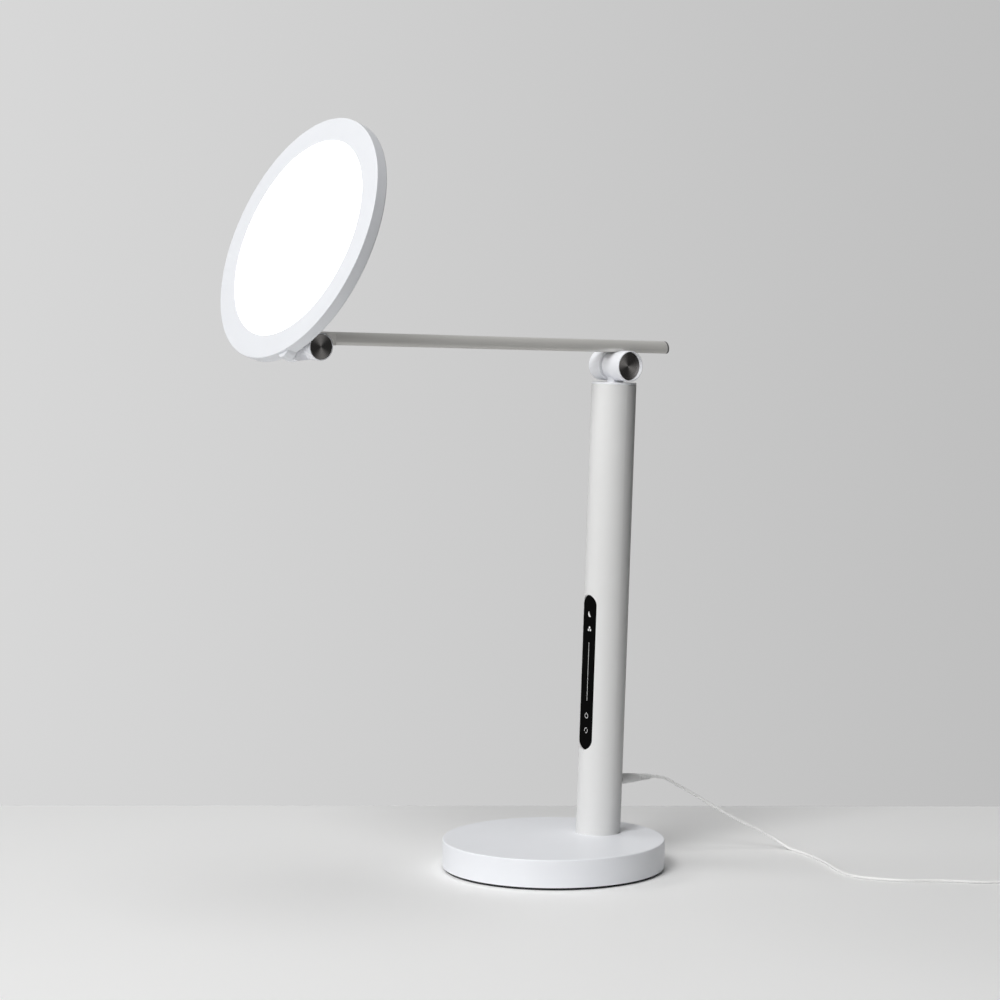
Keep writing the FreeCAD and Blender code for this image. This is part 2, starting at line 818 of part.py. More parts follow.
# ---------------------------------------------------------------- arm
bar_middle = bar_underside + bar_height / 2
bar_front = block_seam - arm_reach
bar_hollow_width = bar_width - 2 * bar_wall
bar_hollow_height = bar_height - 2 * bar_wall
bar_hollow_crown = bar_crown - bar_wall


def cheek_screw_places():
    """Screws that hold both shoulder cheeks under the bar, from inside it."""
    return [V(x, y, bar_underside + bar_wall)
            for x in (-cheek_screw_spread, cheek_screw_spread)
            for y in (-cheek_screw_pitch / 2, cheek_screw_pitch / 2)]


def make_arm_tube():
    outside = rounded_bar(bar_width, bar_height, bar_corner, bar_crown, bar_front, bar_tail,
                          bar_middle)
    hollow = rounded_bar(bar_hollow_width, bar_hollow_height, bar_inner_corner,
                         bar_hollow_crown, bar_front, bar_tail, bar_middle)
    tube = outside.cut(hollow)
    for place in cheek_screw_places():
        tube = tube.cut(z_rod(cheek_screw_radius + fit_gap, bar_underside - 1, bar_middle,
                              place.x, place.y))
    return tube.cut(z_rod(wire_radius + 1, bar_underside - 1, bar_middle))


def make_shoulder_cheek():
    cheek = make_cheek(shoulder_radius, shoulder_knuckle_half, shoulder_cheek_end,
                       shoulder_pin_radius, shoulder_pin_seat,
                       shoulder_pin_head_radius + pin_well_gap, shoulder_cap_radius)
    saddle = rounded_bar(bar_width, bar_height, bar_corner, bar_crown, -shoulder_radius,
                         shoulder_radius, bar_middle)
    cheek = cheek.cut(saddle)
    for place in cheek_screw_places():
        if place.x > 0:
            pilot = z_rod(cheek_screw_radius + thread_gap, bar_underside - cheek_screw_depth,
                          bar_middle, place.x, place.y)
            cheek = cheek.cut(pilot)
    return cheek


def make_cheek_screws():
    screw = cap_screw(cheek_screw_head, cheek_screw_radius * 1.3, cheek_screw_radius,
                      bar_wall + cheek_screw_depth - thread_runout)
    return Part.makeCompound([turned(screw, Z_AXIS, 0, place)
                              for place in cheek_screw_places()])


def make_tail_cap():
    plate = rounded_bar(bar_width, bar_height, bar_corner, bar_crown, bar_tail,
                        bar_tail + tail_cap_thickness, bar_middle)
    plug = rounded_bar(bar_hollow_width - 2 * fit_gap, bar_hollow_height - 2 * fit_gap,
                       bar_inner_corner, bar_hollow_crown, bar_tail - tail_plug_depth,
                       bar_tail, bar_middle)
    return plate.fuse(plug)


def make_arm_harness():
    return y_rod(wire_radius, bar_front + 2, -wire_radius, 0, bar_middle)


# ---------------------------------------------------------------- elbow
elbow_bar_underside = bar_underside - elbow_rise
elbow_bar_middle = bar_middle - elbow_rise
ear_inner = cheek_start(elbow_knuckle_half)
ear_outer = elbow_cheek_end + elbow_ring_width
elbow_screw_x = (bar_width / 2 + ear_outer) / 2
elbow_screw_height = elbow_bar_underside + elbow_screw_rise
elbow_well_radius = elbow_pin_head_radius + pin_well_gap


def elbow_screw_cutter(side):
    sunk = flat_screw(small_screw_head + fit_gap, small_screw_radius + thread_gap,
                      block_seam - block_seat + elbow_screw_grip + thread_runout)
    return turned(sunk, X_AXIS, -90, V(side * elbow_screw_x, block_seam, elbow_screw_height))


def make_elbow_block():
    """Block on the arm's front end that joins the bar to both elbow cheeks."""
    body = rounded_bar(bar_width, bar_height, bar_corner, bar_crown, 0, block_seam,
                       elbow_bar_middle)
    for side in (-1, 1):
        inner = side * ear_inner
        outer = side * ear_outer
        ear = slab(min(inner, outer), max(inner, outer), block_seat, block_seam,
                   elbow_bar_underside, elbow_radius)
        back_edge = [edge for edge in ear.Edges
                     if abs(edge.CenterOfMass.y - block_seam) < 0.01
                     and abs(abs(edge.CenterOfMass.x) - ear_outer) < 0.01]
        body = body.fuse(ear.makeFillet(ear_round, back_edge))
    crosspiece = slab(-ear_inner - 1, ear_inner + 1, block_seat, block_seam,
                      elbow_bar_underside, elbow_radius)
    body = body.fuse(crosspiece)
    sweep = x_rod(elbow_knuckle_radius + block_relief, -ear_inner, ear_inner)
    front = slab(-ear_outer, ear_outer, -elbow_radius, block_seat, -elbow_radius,
                 elbow_radius * 2)
    block = body.cut(sweep).cut(front)
    plug = rounded_bar(bar_hollow_width - 2 * fit_gap, bar_hollow_height - 2 * fit_gap,
                       bar_inner_corner, bar_hollow_crown, block_seam,
                       block_seam + block_plug_depth, elbow_bar_middle)
    wire_way = y_rod(wire_radius + fit_gap, 0, block_seam + block_plug_depth + 1, 0,
                     elbow_bar_middle)
    block = block.fuse(plug).cut(wire_way)
    for side in (-1, 1):
        end = side * (ear_outer + 1)
        for radius, start in ((elbow_radius + fit_gap, elbow_cheek_end - cap_sink),
                              (elbow_well_radius, elbow_pin_seat)):
            block = block.cut(x_rod(radius, min(side * start, end), max(side * start, end)))
        block = block.cut(elbow_screw_cutter(side))
    return block


def make_elbow_cheek():
    cheek = make_cheek(elbow_radius, elbow_knuckle_half, elbow_cheek_end, elbow_pin_radius,
                       elbow_pin_seat, elbow_well_radius, elbow_cap_radius)
    brow = slab(ear_inner, elbow_cheek_end, 0, block_seat, elbow_bar_underside, elbow_radius)
    well = x_rod(elbow_well_radius, elbow_pin_seat, elbow_cheek_end)
    sink = x_rod(elbow_cap_radius + fit_gap, elbow_cheek_end - cap_sink, elbow_cheek_end)
    brow = brow.cut(x_rod(elbow_pin_radius + running_gap, 0, ear_outer)).cut(well).cut(sink)
    cheek = cheek.fuse(brow)
    behind = slab(ear_inner, ear_outer, block_seat, block_seam, elbow_bar_underside,
                  elbow_radius * 2)
    return cheek.cut(behind).cut(elbow_screw_cutter(1)).removeSplitter()


def make_elbow_screws():
    screw = flat_screw(small_screw_head, small_screw_radius,
                       block_seam - block_seat + elbow_screw_grip)
    return Part.makeCompound([turned(screw, X_AXIS, -90,
                                     V(side * elbow_screw_x, block_seam, elbow_screw_height))
                              for side in (-1, 1)])


# ---------------------------------------------------------------- head bracket and swivel
pad_front = -head_forward + swivel_washer_thickness + fit_gap
pad_back = pad_front + bracket_pad_thickness


def make_head_bracket():
    """Elbow's middle knuckle with the tongue and pad that carry the head's chin."""
    knuckle = x_rod(elbow_knuckle_radius, -elbow_knuckle_half, elbow_knuckle_half)
    pad = y_rod(pad_radius, pad_front, pad_back, 0, -chin_drop)
    outline = Part.makePolygon([V(-bracket_half, pad_front, tongue_reach - chin_drop),
                                V(-bracket_half, pad_front, -tongue_reach - chin_drop),
                                V(-bracket_half, pad_back, -tongue_reach - chin_drop),
                                V(-bracket_half, tongue_back, tongue_sink - elbow_knuckle_radius),
                                V(-bracket_half, 0, 0),
                                V(-bracket_half, pad_front, tongue_reach - chin_drop)])
    tongue = Part.Face(outline).extrude(V(2 * bracket_half, 0, 0))
    bracket = knuckle.fuse(pad).fuse(tongue)
    pivot = y_rod(swivel_pin_radius + running_gap, -head_forward, 0, 0, -chin_drop)
    pocket = y_rod(swivel_head_radius + free_gap, pad_back, elbow_radius, 0, -chin_drop)
    bore = x_rod(elbow_pin_radius + running_gap, -elbow_radius, elbow_radius)
    return bracket.cut(pivot).cut(pocket).cut(bore)


def make_swivel_pin():
    seat = swivel_washer_thickness + fit_gap + bracket_pad_thickness + fit_gap
    shank = y_rod(swivel_pin_radius, -swivel_pin_reach, seat)
    head = y_rod(swivel_head_radius, seat, seat + swivel_head_height)
    return shank.fuse(head).cut(y_rod(swivel_pin_bore, -swivel_pin_reach,
                                      seat + swivel_head_height))


def make_swivel_washer():
    return y_ring(pad_radius - swivel_washer_margin, swivel_pin_radius + running_gap, 0,
                  swivel_washer_thickness)


# ---------------------------------------------------------------- head
bezel_back = bezel_thickness - head_thickness
spreader_front = -head_back_wall - spreader_thickness
reflector_front = spreader_front - reflector_thickness
guide_front = reflector_front - guide_thickness


def head_disc(radius, y_from, y_to):
    return y_rod(radius, y_from, y_to, 0, chin_offset)


def head_screw_places(y):
    places = []
    for angle in around(head_screw_count, chin_angle + 180.0 / head_screw_count):
        spot = polar(bezel_boss_circle_radius, angle)
        places.append(V(spot.x, y, chin_offset + spot.y))
    return places


def make_head_shell():
    """Back dish of the head with its rim and the tapered chin lug."""
    dish = head_disc(head_radius, bezel_back, 0)
    back_edge = [edge for edge in dish.Edges
                 if abs(edge.CenterOfMass.y) < 0.01 and edge.Length > 5 * head_radius]
    dish = dish.makeFillet(head_back_round, back_edge)
    dish = dish.cut(head_disc(head_radius - head_rim_wall, bezel_back, -head_back_wall))
    lug = Part.makeCone(lug_radius, lug_tip_radius, lug_depth, ORIGIN, V(0, -1, 0))
    lug = lug.cut(head_disc(optic_radius + free_gap, bezel_back, -head_back_wall))
    shell = dish.fuse(lug)
    shell = shell.cut(y_rod(swivel_pin_radius + thread_gap, -swivel_pin_reach - thread_runout, 0))
    for place in head_screw_places(0):
        cutter = flat_screw(small_screw_head + fit_gap, small_screw_radius + fit_gap,
                            head_back_wall * 2)
        shell = shell.cut(turned(cutter, X_AXIS, -90, place))
    return shell


def make_bezel():
    ring = head_disc(head_radius, -head_thickness, bezel_back)
    front_edge = [edge for edge in ring.Edges
                  if abs(edge.CenterOfMass.y + head_thickness) < 0.01
                  and edge.Length > 5 * head_radius]
    ring = ring.makeFillet(bezel_round, front_edge)
    ring = ring.cut(head_disc(light_radius, -head_thickness, bezel_back))
    for place in head_screw_places(0):
        boss = y_rod(bezel_boss_radius, bezel_back - bezel_thickness / 2, -head_back_wall - fit_gap,
                     place.x, place.z)
        pilot = y_rod(small_screw_radius + thread_gap, bezel_back + head_screw_tip - thread_runout,
                      -head_back_wall, place.x, place.z)
        ring = ring.fuse(boss).cut(pilot)
    return ring


def make_head_screws():
    length = head_thickness - bezel_thickness - head_screw_tip
    screw = flat_screw(small_screw_head, small_screw_radius, length)
    return Part.makeCompound([turned(screw, X_AXIS, -90, place)
                              for place in head_screw_places(0)])


def make_diffuser():
    sheet = head_disc(optic_radius, bezel_back, guide_front)
    window = head_disc(light_radius - fit_gap * 2, diffuser_recess - head_thickness, bezel_back)
    return sheet.fuse(window)


def make_led_strip():
    outer = guide_radius + led_strip_thickness + free_gap
    return y_ring(outer, outer - led_strip_thickness, guide_front, spreader_front, chin_offset)


def make_led_chips():
    """Light sources round the guide's edge, on the strip's inner face."""
    face = guide_radius + free_gap - led_gap
    middle = (guide_front + spreader_front) / 2
    chip = slab(-led_width / 2, led_width / 2, middle - led_height / 2, middle + led_height / 2,
                face - led_thickness, face)
    chips = []
    for angle in around(led_count):
        chips.append(turned(chip, Y_AXIS, angle, V(0, 0, chin_offset)))
    return Part.makeCompound(chips)


# ---------------------------------------------------------------- cord
plug_tip = stem_frame.multVec(V(0, plug_end, jack_height))
plug_heading = stem_frame.Rotation.multVec(Y_AXIS)


def unit(vector):
    return vector.multiply(1.0 / vector.Length)


def rounded_path(points, label):
    """Wire of straight runs joined by tangent arcs, as large as the runs allow."""
    edges = []
    start = points[0]
    smallest = None
    for index in range(1, len(points) - 1):
        before = points[index] - points[index - 1]
        after = points[index + 1] - points[index]
        turn = before.getAngle(after)
        back = 0.45 * min(before.Length, after.Length)
        radius = back / math.tan(turn / 2)
        smallest = radius if smallest is None else min(smallest, radius)
        first = points[index] - unit(V(before)).multiply(back)
        last = points[index] + unit(V(after)).multiply(back)
        inward = unit(V(after)) - unit(V(before))
        sagitta = radius * (1 / math.cos(turn / 2) - 1)
        middle = points[index] + unit(V(inward)).multiply(sagitta)
        edges.append(Part.LineSegment(start, first).toShape())
        edges.append(Part.Arc(first, middle, last).toShape())
        start = last
        print("%s point %d: radius %.1f mm, turn %.0f degrees"
              % (label, index, radius, math.degrees(turn)))
    edges.append(Part.LineSegment(start, points[-1]).toShape())
    print("%s: smallest radius %.1f mm" % (label, smallest))
    return Part.Wire(edges)


def tube_along(points, radius, label):
    path = rounded_path(points, label)
    section = Part.Wire([Part.Circle(points[0], points[1] - points[0], radius).toShape()])
    tube = path.makePipeShell([section], True, False)
    expected = math.pi * radius ** 2 * path.Length
    print("%s: length %.1f mm, volume %.1f, section x length %.1f mm3"
          % (label, path.Length, tube.Volume, expected))
    return tube


coil_z = cord_radius * 2 * coil_turns_high
coil_half = cord_radius * coil_turns_across
coil_center = V(coil_middle[0], coil_middle[1], 0)


def coil_line(heading, along):
    """Point on the coil's tangent line of a heading, along mm past where it touches."""
    forward = polar(1.0, heading)
    outward = V(-forward.y, forward.x, 0)
    foot = coil_center + outward * coil_line_radius + V(0, 0, cord_radius)
    return foot + forward * along


coil_entry = coil_line(coil_entry_angle, -coil_stub)
coil_exit = coil_line(coil_tail_angle, coil_stub)
tail_rise = coil_exit + V(tail_run + tail_rise_run, -tail_side_step,
                          adapter_inlet_height - cord_radius)
adapter_mouth = tail_rise + V(tail_last_run, 0, 0)


def make_cord_lead():
    points = [plug_tip, plug_tip + plug_heading * cord_first_run]
    points += [V(*spot) for spot in cord_fall]
    points += [V(x, y, cord_radius) for x, y in cord_on_table]
    points.append(coil_line(coil_entry_angle, -coil_stub - cord_last_run))
    points.append(coil_entry)
    return tube_along(points, cord_radius, "cord lead")


def make_cord_coil():
    """Outer shape of the wound coil, with the cord's two straight ends."""
    corners = Part.makePolygon([V(coil_mean_radius - coil_half, 0, 0),
                                V(coil_mean_radius + coil_half, 0, 0),
                                V(coil_mean_radius + coil_half, 0, coil_z),
                                V(coil_mean_radius - coil_half, 0, coil_z),
                                V(coil_mean_radius - coil_half, 0, 0)])
    ring = Part.Face(corners).revolve(ORIGIN, Z_AXIS, 360)
    ring = ring.makeFillet(coil_round, ring.Edges)
    ring.translate(coil_center)
    for heading, along in ((coil_entry_angle, -coil_stub), (coil_tail_angle, coil_stub)):
        foot = coil_line(heading, 0)
        end = coil_line(heading, along)
        stub = Part.makeCylinder(cord_radius, coil_stub, end, foot - end)
        ring = ring.fuse(stub)
    return ring


def make_coil_tie():
    """Strap over the coil's turns."""
    inner = coil_mean_radius - coil_half - tie_thickness - tie_slack
    outer = coil_mean_radius + coil_half + tie_thickness
    strap = slab(inner, outer, -tie_width / 2, tie_width / 2, 0, coil_z + tie_thickness)
    inside = slab(inner + tie_thickness, outer - tie_thickness, -tie_width, tie_width,
                  -1, coil_z)
    return turned(strap.cut(inside), Z_AXIS, tie_angle, coil_center)


def make_cord_tail():
    points = [coil_exit, coil_exit + V(tail_run, 0, 0), tail_rise, adapter_mouth]
    return tube_along(points, cord_radius, "cord tail")


def make_adapter():
    """Wall adapter lying on the table, with its moulded cord inlet."""
    face = adapter_mouth.x + adapter_relief_length
    middle = adapter_mouth.y
    body = slab(face, face + adapter_length, middle - adapter_width / 2,
                middle + adapter_width / 2, 0, adapter_height)
    body = body.makeFillet(adapter_round, body.Edges)
    relief = Part.makeCone(adapter_relief_tip, adapter_relief_radius,
                           adapter_relief_length + adapter_relief_sink, adapter_mouth, X_AXIS)
    return body.fuse(relief)


def make_adapter_blades():
    face = adapter_mouth.x + adapter_relief_length + adapter_length
    middle = adapter_mouth.y
    blades = []
    for side in (-1, 1):
        y = middle + side * blade_spacing / 2
        blades.append(slab(face, face + blade_length, y - blade_thickness / 2,
                           y + blade_thickness / 2, adapter_height / 2 - blade_width / 2,
                           adapter_height / 2 + blade_width / 2))
    return Part.makeCompound(blades)


# ---------------------------------------------------------------- assembly
keep("base_pad", base_frame, z_rod(base_radius - pad_inset, 0, pad_thickness))
keep("base_plate", base_frame, make_base_plate())
keep("base_screws", base_frame, make_base_screws())
keep("base_weight", base_frame, make_base_weight())
keep("base_cover", base_frame, make_base_cover())
keep("foot_bolts", base_frame, make_foot_bolts())
keep("stem_foot", base_frame, make_stem_foot())

keep("stem_tube", stem_frame, make_stem_tube())
keep("stem_screws", stem_frame, make_stem_screws())
keep("touch_panel", stem_frame, make_touch_panel())
keep("touch_board", stem_frame, make_touch_board())
keep("touch_springs", stem_frame, make_touch_springs())
keep("board_carrier", stem_frame, make_board_carrier())
keep("main_board", stem_frame, make_main_board())
keep("board_screws", stem_frame, make_board_screws())
keep("stem_harness", stem_frame, make_stem_harness())
keep("dc_jack", stem_frame, make_dc_jack())
keep("jack_nut", stem_frame, make_jack_nut())
keep("dc_plug", stem_frame, make_dc_plug())
keep("neck", stem_frame, make_neck())

keep_hinge("shoulder", arm_frame, shoulder_radius, shoulder_knuckle_half,
           shoulder_knuckle_radius, shoulder_cheek_end, shoulder_ring_width,
           shoulder_cap_radius, shoulder_pin_radius, shoulder_pin_seat,
           shoulder_pin_head_radius, shoulder_pin_head_height, shoulder_nut_across,
           shoulder_nut_height, shoulder_spring_height, shoulder_pin_bore)
shoulder_cheek = make_shoulder_cheek()
keep("shoulder_cheek_near", arm_frame, shoulder_cheek)
keep("shoulder_cheek_far", arm_frame, shoulder_cheek.mirror(ORIGIN, X_AXIS))
keep("cheek_screws", arm_frame, make_cheek_screws())
keep("arm_tube", arm_frame, make_arm_tube())
keep("arm_tail_cap", arm_frame, make_tail_cap())
keep("arm_harness", arm_frame, make_arm_harness())
keep("elbow_block", elbow_frame, make_elbow_block())
elbow_cheek = make_elbow_cheek()
keep("elbow_cheek_near", elbow_frame, elbow_cheek)
keep("elbow_cheek_far", elbow_frame, elbow_cheek.mirror(ORIGIN, X_AXIS))
keep("elbow_screws", elbow_frame, make_elbow_screws())
keep_hinge("elbow", elbow_frame, elbow_radius, elbow_knuckle_half, elbow_knuckle_radius,
           elbow_cheek_end, elbow_ring_width, elbow_cap_radius, elbow_pin_radius,
           elbow_pin_seat, elbow_pin_head_radius, elbow_pin_head_height, elbow_nut_across,
           elbow_nut_height, elbow_spring_height, elbow_pin_bore)

keep("head_bracket", tilt_frame, make_head_bracket())
keep("swivel_pin", head_frame, make_swivel_pin())
keep("swivel_washer", head_frame, make_swivel_washer())
keep("head_shell", head_frame, make_head_shell())
keep("head_bezel", head_frame, make_bezel())
keep("head_screws", head_frame, make_head_screws())
keep("diffuser", head_frame, make_diffuser())
keep("light_guide", head_frame, head_disc(guide_radius, guide_front, reflector_front))
keep("reflector", head_frame, head_disc(guide_radius, reflector_front, spreader_front))
keep("heat_spreader", head_frame, head_disc(optic_radius, spreader_front, -head_back_wall))
keep("led_strip", head_frame, make_led_strip())
keep("led_chips", head_frame, make_led_chips())

keep("cord_lead", base_frame, make_cord_lead())
keep("cord_coil", base_frame, make_cord_coil())
keep("coil_tie", base_frame, make_coil_tie())
keep("cord_tail", base_frame, make_cord_tail())
keep("adapter", base_frame, make_adapter())
keep("adapter_blades", base_frame, make_adapter_blades())

# ---------------------------------------------------------------- output
for label, frame in (("shoulder", arm_frame), ("elbow", elbow_frame), ("swivel", chin_frame)):
    place = frame.Base
    axis = frame.Rotation.multVec(Y_AXIS)
    print("%s at (%.4f, %.4f, %.4f), its frame's Y axis (%.6f, %.6f, %.6f)"
          % (label, place.x, place.y, place.z, axis.x, axis.y, axis.z))
print("cord starts at (%.2f, %.2f, %.2f)" % (plug_tip.x, plug_tip.y, plug_tip.z))
print("coil entry (%.2f, %.2f), exit (%.2f, %.2f), adapter mouth (%.2f, %.2f, %.2f)"
      % (coil_entry.x, coil_entry.y, coil_exit.x, coil_exit.y,
         adapter_mouth.x, adapter_mouth.y, adapter_mouth.z))

os.makedirs("parts", exist_ok=True)
for name, shape in pieces.items():
    shape.exportStep("parts/%s.step" % name)
print("%d nodes" % len(pieces))
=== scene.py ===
"""Light therapy lamp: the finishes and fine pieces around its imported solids.

Metres. The origin is the middle of the base's underside, +Z is up, and the light faces -Y.
"""

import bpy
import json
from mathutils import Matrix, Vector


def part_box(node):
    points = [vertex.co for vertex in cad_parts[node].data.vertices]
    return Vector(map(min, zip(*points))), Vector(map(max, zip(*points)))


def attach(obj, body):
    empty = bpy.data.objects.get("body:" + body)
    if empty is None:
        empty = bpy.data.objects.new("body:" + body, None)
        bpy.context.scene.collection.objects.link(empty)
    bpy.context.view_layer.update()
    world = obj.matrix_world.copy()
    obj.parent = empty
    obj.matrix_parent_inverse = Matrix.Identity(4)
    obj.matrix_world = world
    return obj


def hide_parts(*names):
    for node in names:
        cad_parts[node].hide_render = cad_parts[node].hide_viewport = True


bl_info = {
    "name": "Light therapy lamp",
    "version": (1, 0, 0),
    "blender": (4, 5, 0),
    "location": "3D View > Sidebar > Lamp",
    "description": "Finishes, turned caps, panel marks, plug, cord and stage of a light therapy lamp",
    "category": "Object",
}

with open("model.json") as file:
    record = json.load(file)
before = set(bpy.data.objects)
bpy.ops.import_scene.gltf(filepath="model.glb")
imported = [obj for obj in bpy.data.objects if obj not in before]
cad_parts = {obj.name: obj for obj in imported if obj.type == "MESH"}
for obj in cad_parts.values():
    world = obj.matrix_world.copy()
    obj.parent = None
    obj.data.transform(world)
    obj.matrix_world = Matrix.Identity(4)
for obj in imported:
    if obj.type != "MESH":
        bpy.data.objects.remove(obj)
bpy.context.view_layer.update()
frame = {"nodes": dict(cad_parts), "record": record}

import json
import math

import bmesh
import bpy
from mathutils import Euler, Matrix, Vector

MM = 0.001
NODES = frame["nodes"]

# Middles of the hinges, and where and which way the cord leaves the plug
SHOULDER = Vector((0.0, 0.0608808, 0.4054665))
ELBOW = Vector((0.0, -0.2278271, 0.4262172))
PLUG_END = Vector((0.0, 0.09803, 0.06465))
PLUG_AXIS = Vector((0.0, 0.999229, -0.03926))


# ---------------------------------------------------------------- shader building


class Signal:
    """One number in a material. Python's operators on it add Math nodes."""

    def __init__(self, graph, socket):
        self.graph = graph
        self.socket = socket

    def join(self, operation, *values):
        return self.graph.node("ShaderNodeMath", {"operation": operation}, dict(enumerate(values)))

    def __add__(self, other):
        return self.join("ADD", self, other)

    __radd__ = __add__

    def __sub__(self, other):
        return self.join("SUBTRACT", self, other)

    def __rsub__(self, other):
        return self.join("SUBTRACT", other, self)

    def __mul__(self, other):
        return self.join("MULTIPLY", self, other)

    __rmul__ = __mul__

    def sine(self):
        return self.join("SINE", self)

    def root(self):
        return self.join("SQRT", self)


class Graph:
    """A node tree that is being built."""

    def __init__(self, tree):
        self.tree = tree
        tree.nodes.clear()

    def node(self, kind, settings=None, values=None, output=0):
        """Adds a node: its own settings first, then the values or links of its sockets."""
        made = self.tree.nodes.new(kind)
        for name, value in (settings or {}).items():
            setattr(made, name, value)
        for name, value in (values or {}).items():
            if isinstance(value, Signal):
                self.tree.links.new(value.socket, made.inputs[name])
            else:
                made.inputs[name].default_value = value
        return Signal(self, made.outputs[output])

    def ramp(self, signal, low, high):
        """0 below low, 1 above high, smooth between."""
        return self.node(
            "ShaderNodeMapRange",
            {"interpolation_type": "SMOOTHSTEP"},
            {"Value": signal, "From Min": low, "From Max": high},
        )

    def mix(self, share, first, second):
        """A colour between two colours."""
        values = {0: share, 6: first, 7: second}
        for key in (6, 7):
            if not isinstance(values[key], Signal):
                values[key] = (*values[key][:3], 1.0)
        return self.node("ShaderNodeMix", {"data_type": "RGBA"}, values, 2)

    def finish(self, kind, surface):
        out = self.tree.nodes.new(kind)
        self.tree.links.new(surface.socket, out.inputs["Surface"])


class Finish(Graph):
    """A material under construction, with the textures that the lamp's finishes share."""

    def __init__(self, name):
        self.material = bpy.data.materials.new(name)
        self.material.use_nodes = True
        super().__init__(self.material.node_tree)
        self.place = self.node("ShaderNodeTexCoord", output="Object")

    def placed(self, scale=(1, 1, 1), turn=(0, 0, 0), move=(0, 0, 0)):
        """Object coordinates moved, turned and stretched."""
        return self.node(
            "ShaderNodeMapping",
            {"vector_type": "POINT"},
            {"Vector": self.place, "Location": move, "Rotation": turn, "Scale": scale},
        )

    def noise(self, size, detail=2.0, rough=0.5, at=None):
        """Soft noise from 0 to 1, with features of about size metres."""
        return self.node(
            "ShaderNodeTexNoise",
            None,
            {"Vector": at or self.place, "Scale": 1.0 / size, "Detail": detail, "Roughness": rough},
        )

    def cells(self, size, random=1.0):
        """The distance to the nearest of many points about size metres apart, in steps of that size."""
        return self.node(
            "ShaderNodeTexVoronoi",
            {"feature": "F1"},
            {"Vector": self.place, "Scale": 1.0 / size, "Randomness": random},
            "Distance",
        )

    def parts(self, vector):
        """The x, y and z of a vector."""
        split = self.node("ShaderNodeSeparateXYZ", None, {0: vector})
        return [Signal(self, split.socket.node.outputs[axis]) for axis in "XYZ"]

    def bump(self, height, depth, normal=None):
        """A relief of height, a number from 0 to 1, times depth metres."""
        values = {"Height": height, "Distance": depth, "Strength": 1.0}
        if normal:
            values["Normal"] = normal
        return self.node("ShaderNodeBump", None, values)

    def shade(self, colour, roughness, metallic=0.0, normal=None, coat=0.0, **fixed):
        """The surface shader. Colour, roughness, metallic, coat and normal may vary."""
        values = {
            "Base Color": colour if isinstance(colour, Signal) else (*colour[:3], 1.0),
            "Roughness": roughness,
            "Metallic": metallic,
            "Coat Weight": coat,
        }
        if normal:
            values["Normal"] = normal
        values.update({name.replace("_", " "): value for name, value in fixed.items()})
        surface = self.node("ShaderNodeBsdfPrincipled", None, values, "BSDF")
        self.finish("ShaderNodeOutputMaterial", surface)
        return self.material


def tint(colour, factor):
    """A colour made lighter or darker by a factor."""
    return tuple(min(1.0, part * factor) for part in colour[:3])


# ---------------------------------------------------------------- finishes


def moulded_plastic(name, colour, roughness):
    """Injection-moulded plastic with a fine spark-eroded texture, faint handling marks and dust."""
    finish = Finish(name)
    spark = finish.noise(0.45 * MM, 3.0, 0.6)
    flow = finish.noise(46 * MM, 2.0, 0.5)
    handling = finish.noise(9 * MM, 4.0, 0.65)
    shade = finish.mix(flow, tint(colour, 0.985), tint(colour, 1.012))
    dust = finish.ramp(finish.noise(1.1 * MM, 2.0, 0.6), 0.72, 0.8)
    shade = finish.mix(dust * 0.25, shade, tint(colour, 0.93))
    gloss = roughness + (handling - 0.5) * 0.10 + (spark - 0.5) * 0.06
    return finish.shade(shade, gloss, 0.0, finish.bump(spark, 0.006 * MM))


def powder_coat(name, colour, roughness):
    """Baked powder paint: orange peel with a finer grain on it."""
    finish = Finish(name)
    peel = finish.noise(1.7 * MM, 2.0, 0.45)
    grain = finish.noise(0.32 * MM, 2.0, 0.6)
    cloud = finish.noise(60 * MM, 2.0, 0.5)
    wipe = finish.noise(13 * MM, 3.0, 0.6)
    shade = finish.mix(cloud, tint(colour, 0.985), tint(colour, 1.01))
    gloss = roughness + (wipe - 0.5) * 0.08 + (grain - 0.5) * 0.05
    normal = finish.bump(grain, 0.002 * MM, finish.bump(peel, 0.007 * MM))
    return finish.shade(shade, gloss, 0.0, normal, Specular_IOR_Level=0.12)


def drawn_aluminium(name, colour, roughness, turn, metal=1.0):
    """Anodised extrusion: fine die lines along Y, before they are turned."""
    finish = Finish(name)
    lines = finish.placed((1.0, 0.012, 1.0), turn)
    fine = finish.noise(0.16 * MM, 2.0, 0.7, lines)
    broad = finish.noise(1.3 * MM, 2.0, 0.5, lines)
    bloom = finish.noise(24 * MM, 3.0, 0.6)
    speck = finish.noise(0.25 * MM, 2.0, 0.6)
    shade = finish.mix(broad, tint(colour, 0.93), tint(colour, 1.05))
    shade = finish.mix(bloom * 0.5, shade, tint(colour, 0.97))
    gloss = roughness + (fine - 0.5) * 0.16 + (bloom - 0.5) * 0.06
    height = fine * 0.7 + broad * 0.2 + speck * 0.25
    return finish.shade(shade, gloss, metal, finish.bump(height, 0.0035 * MM))


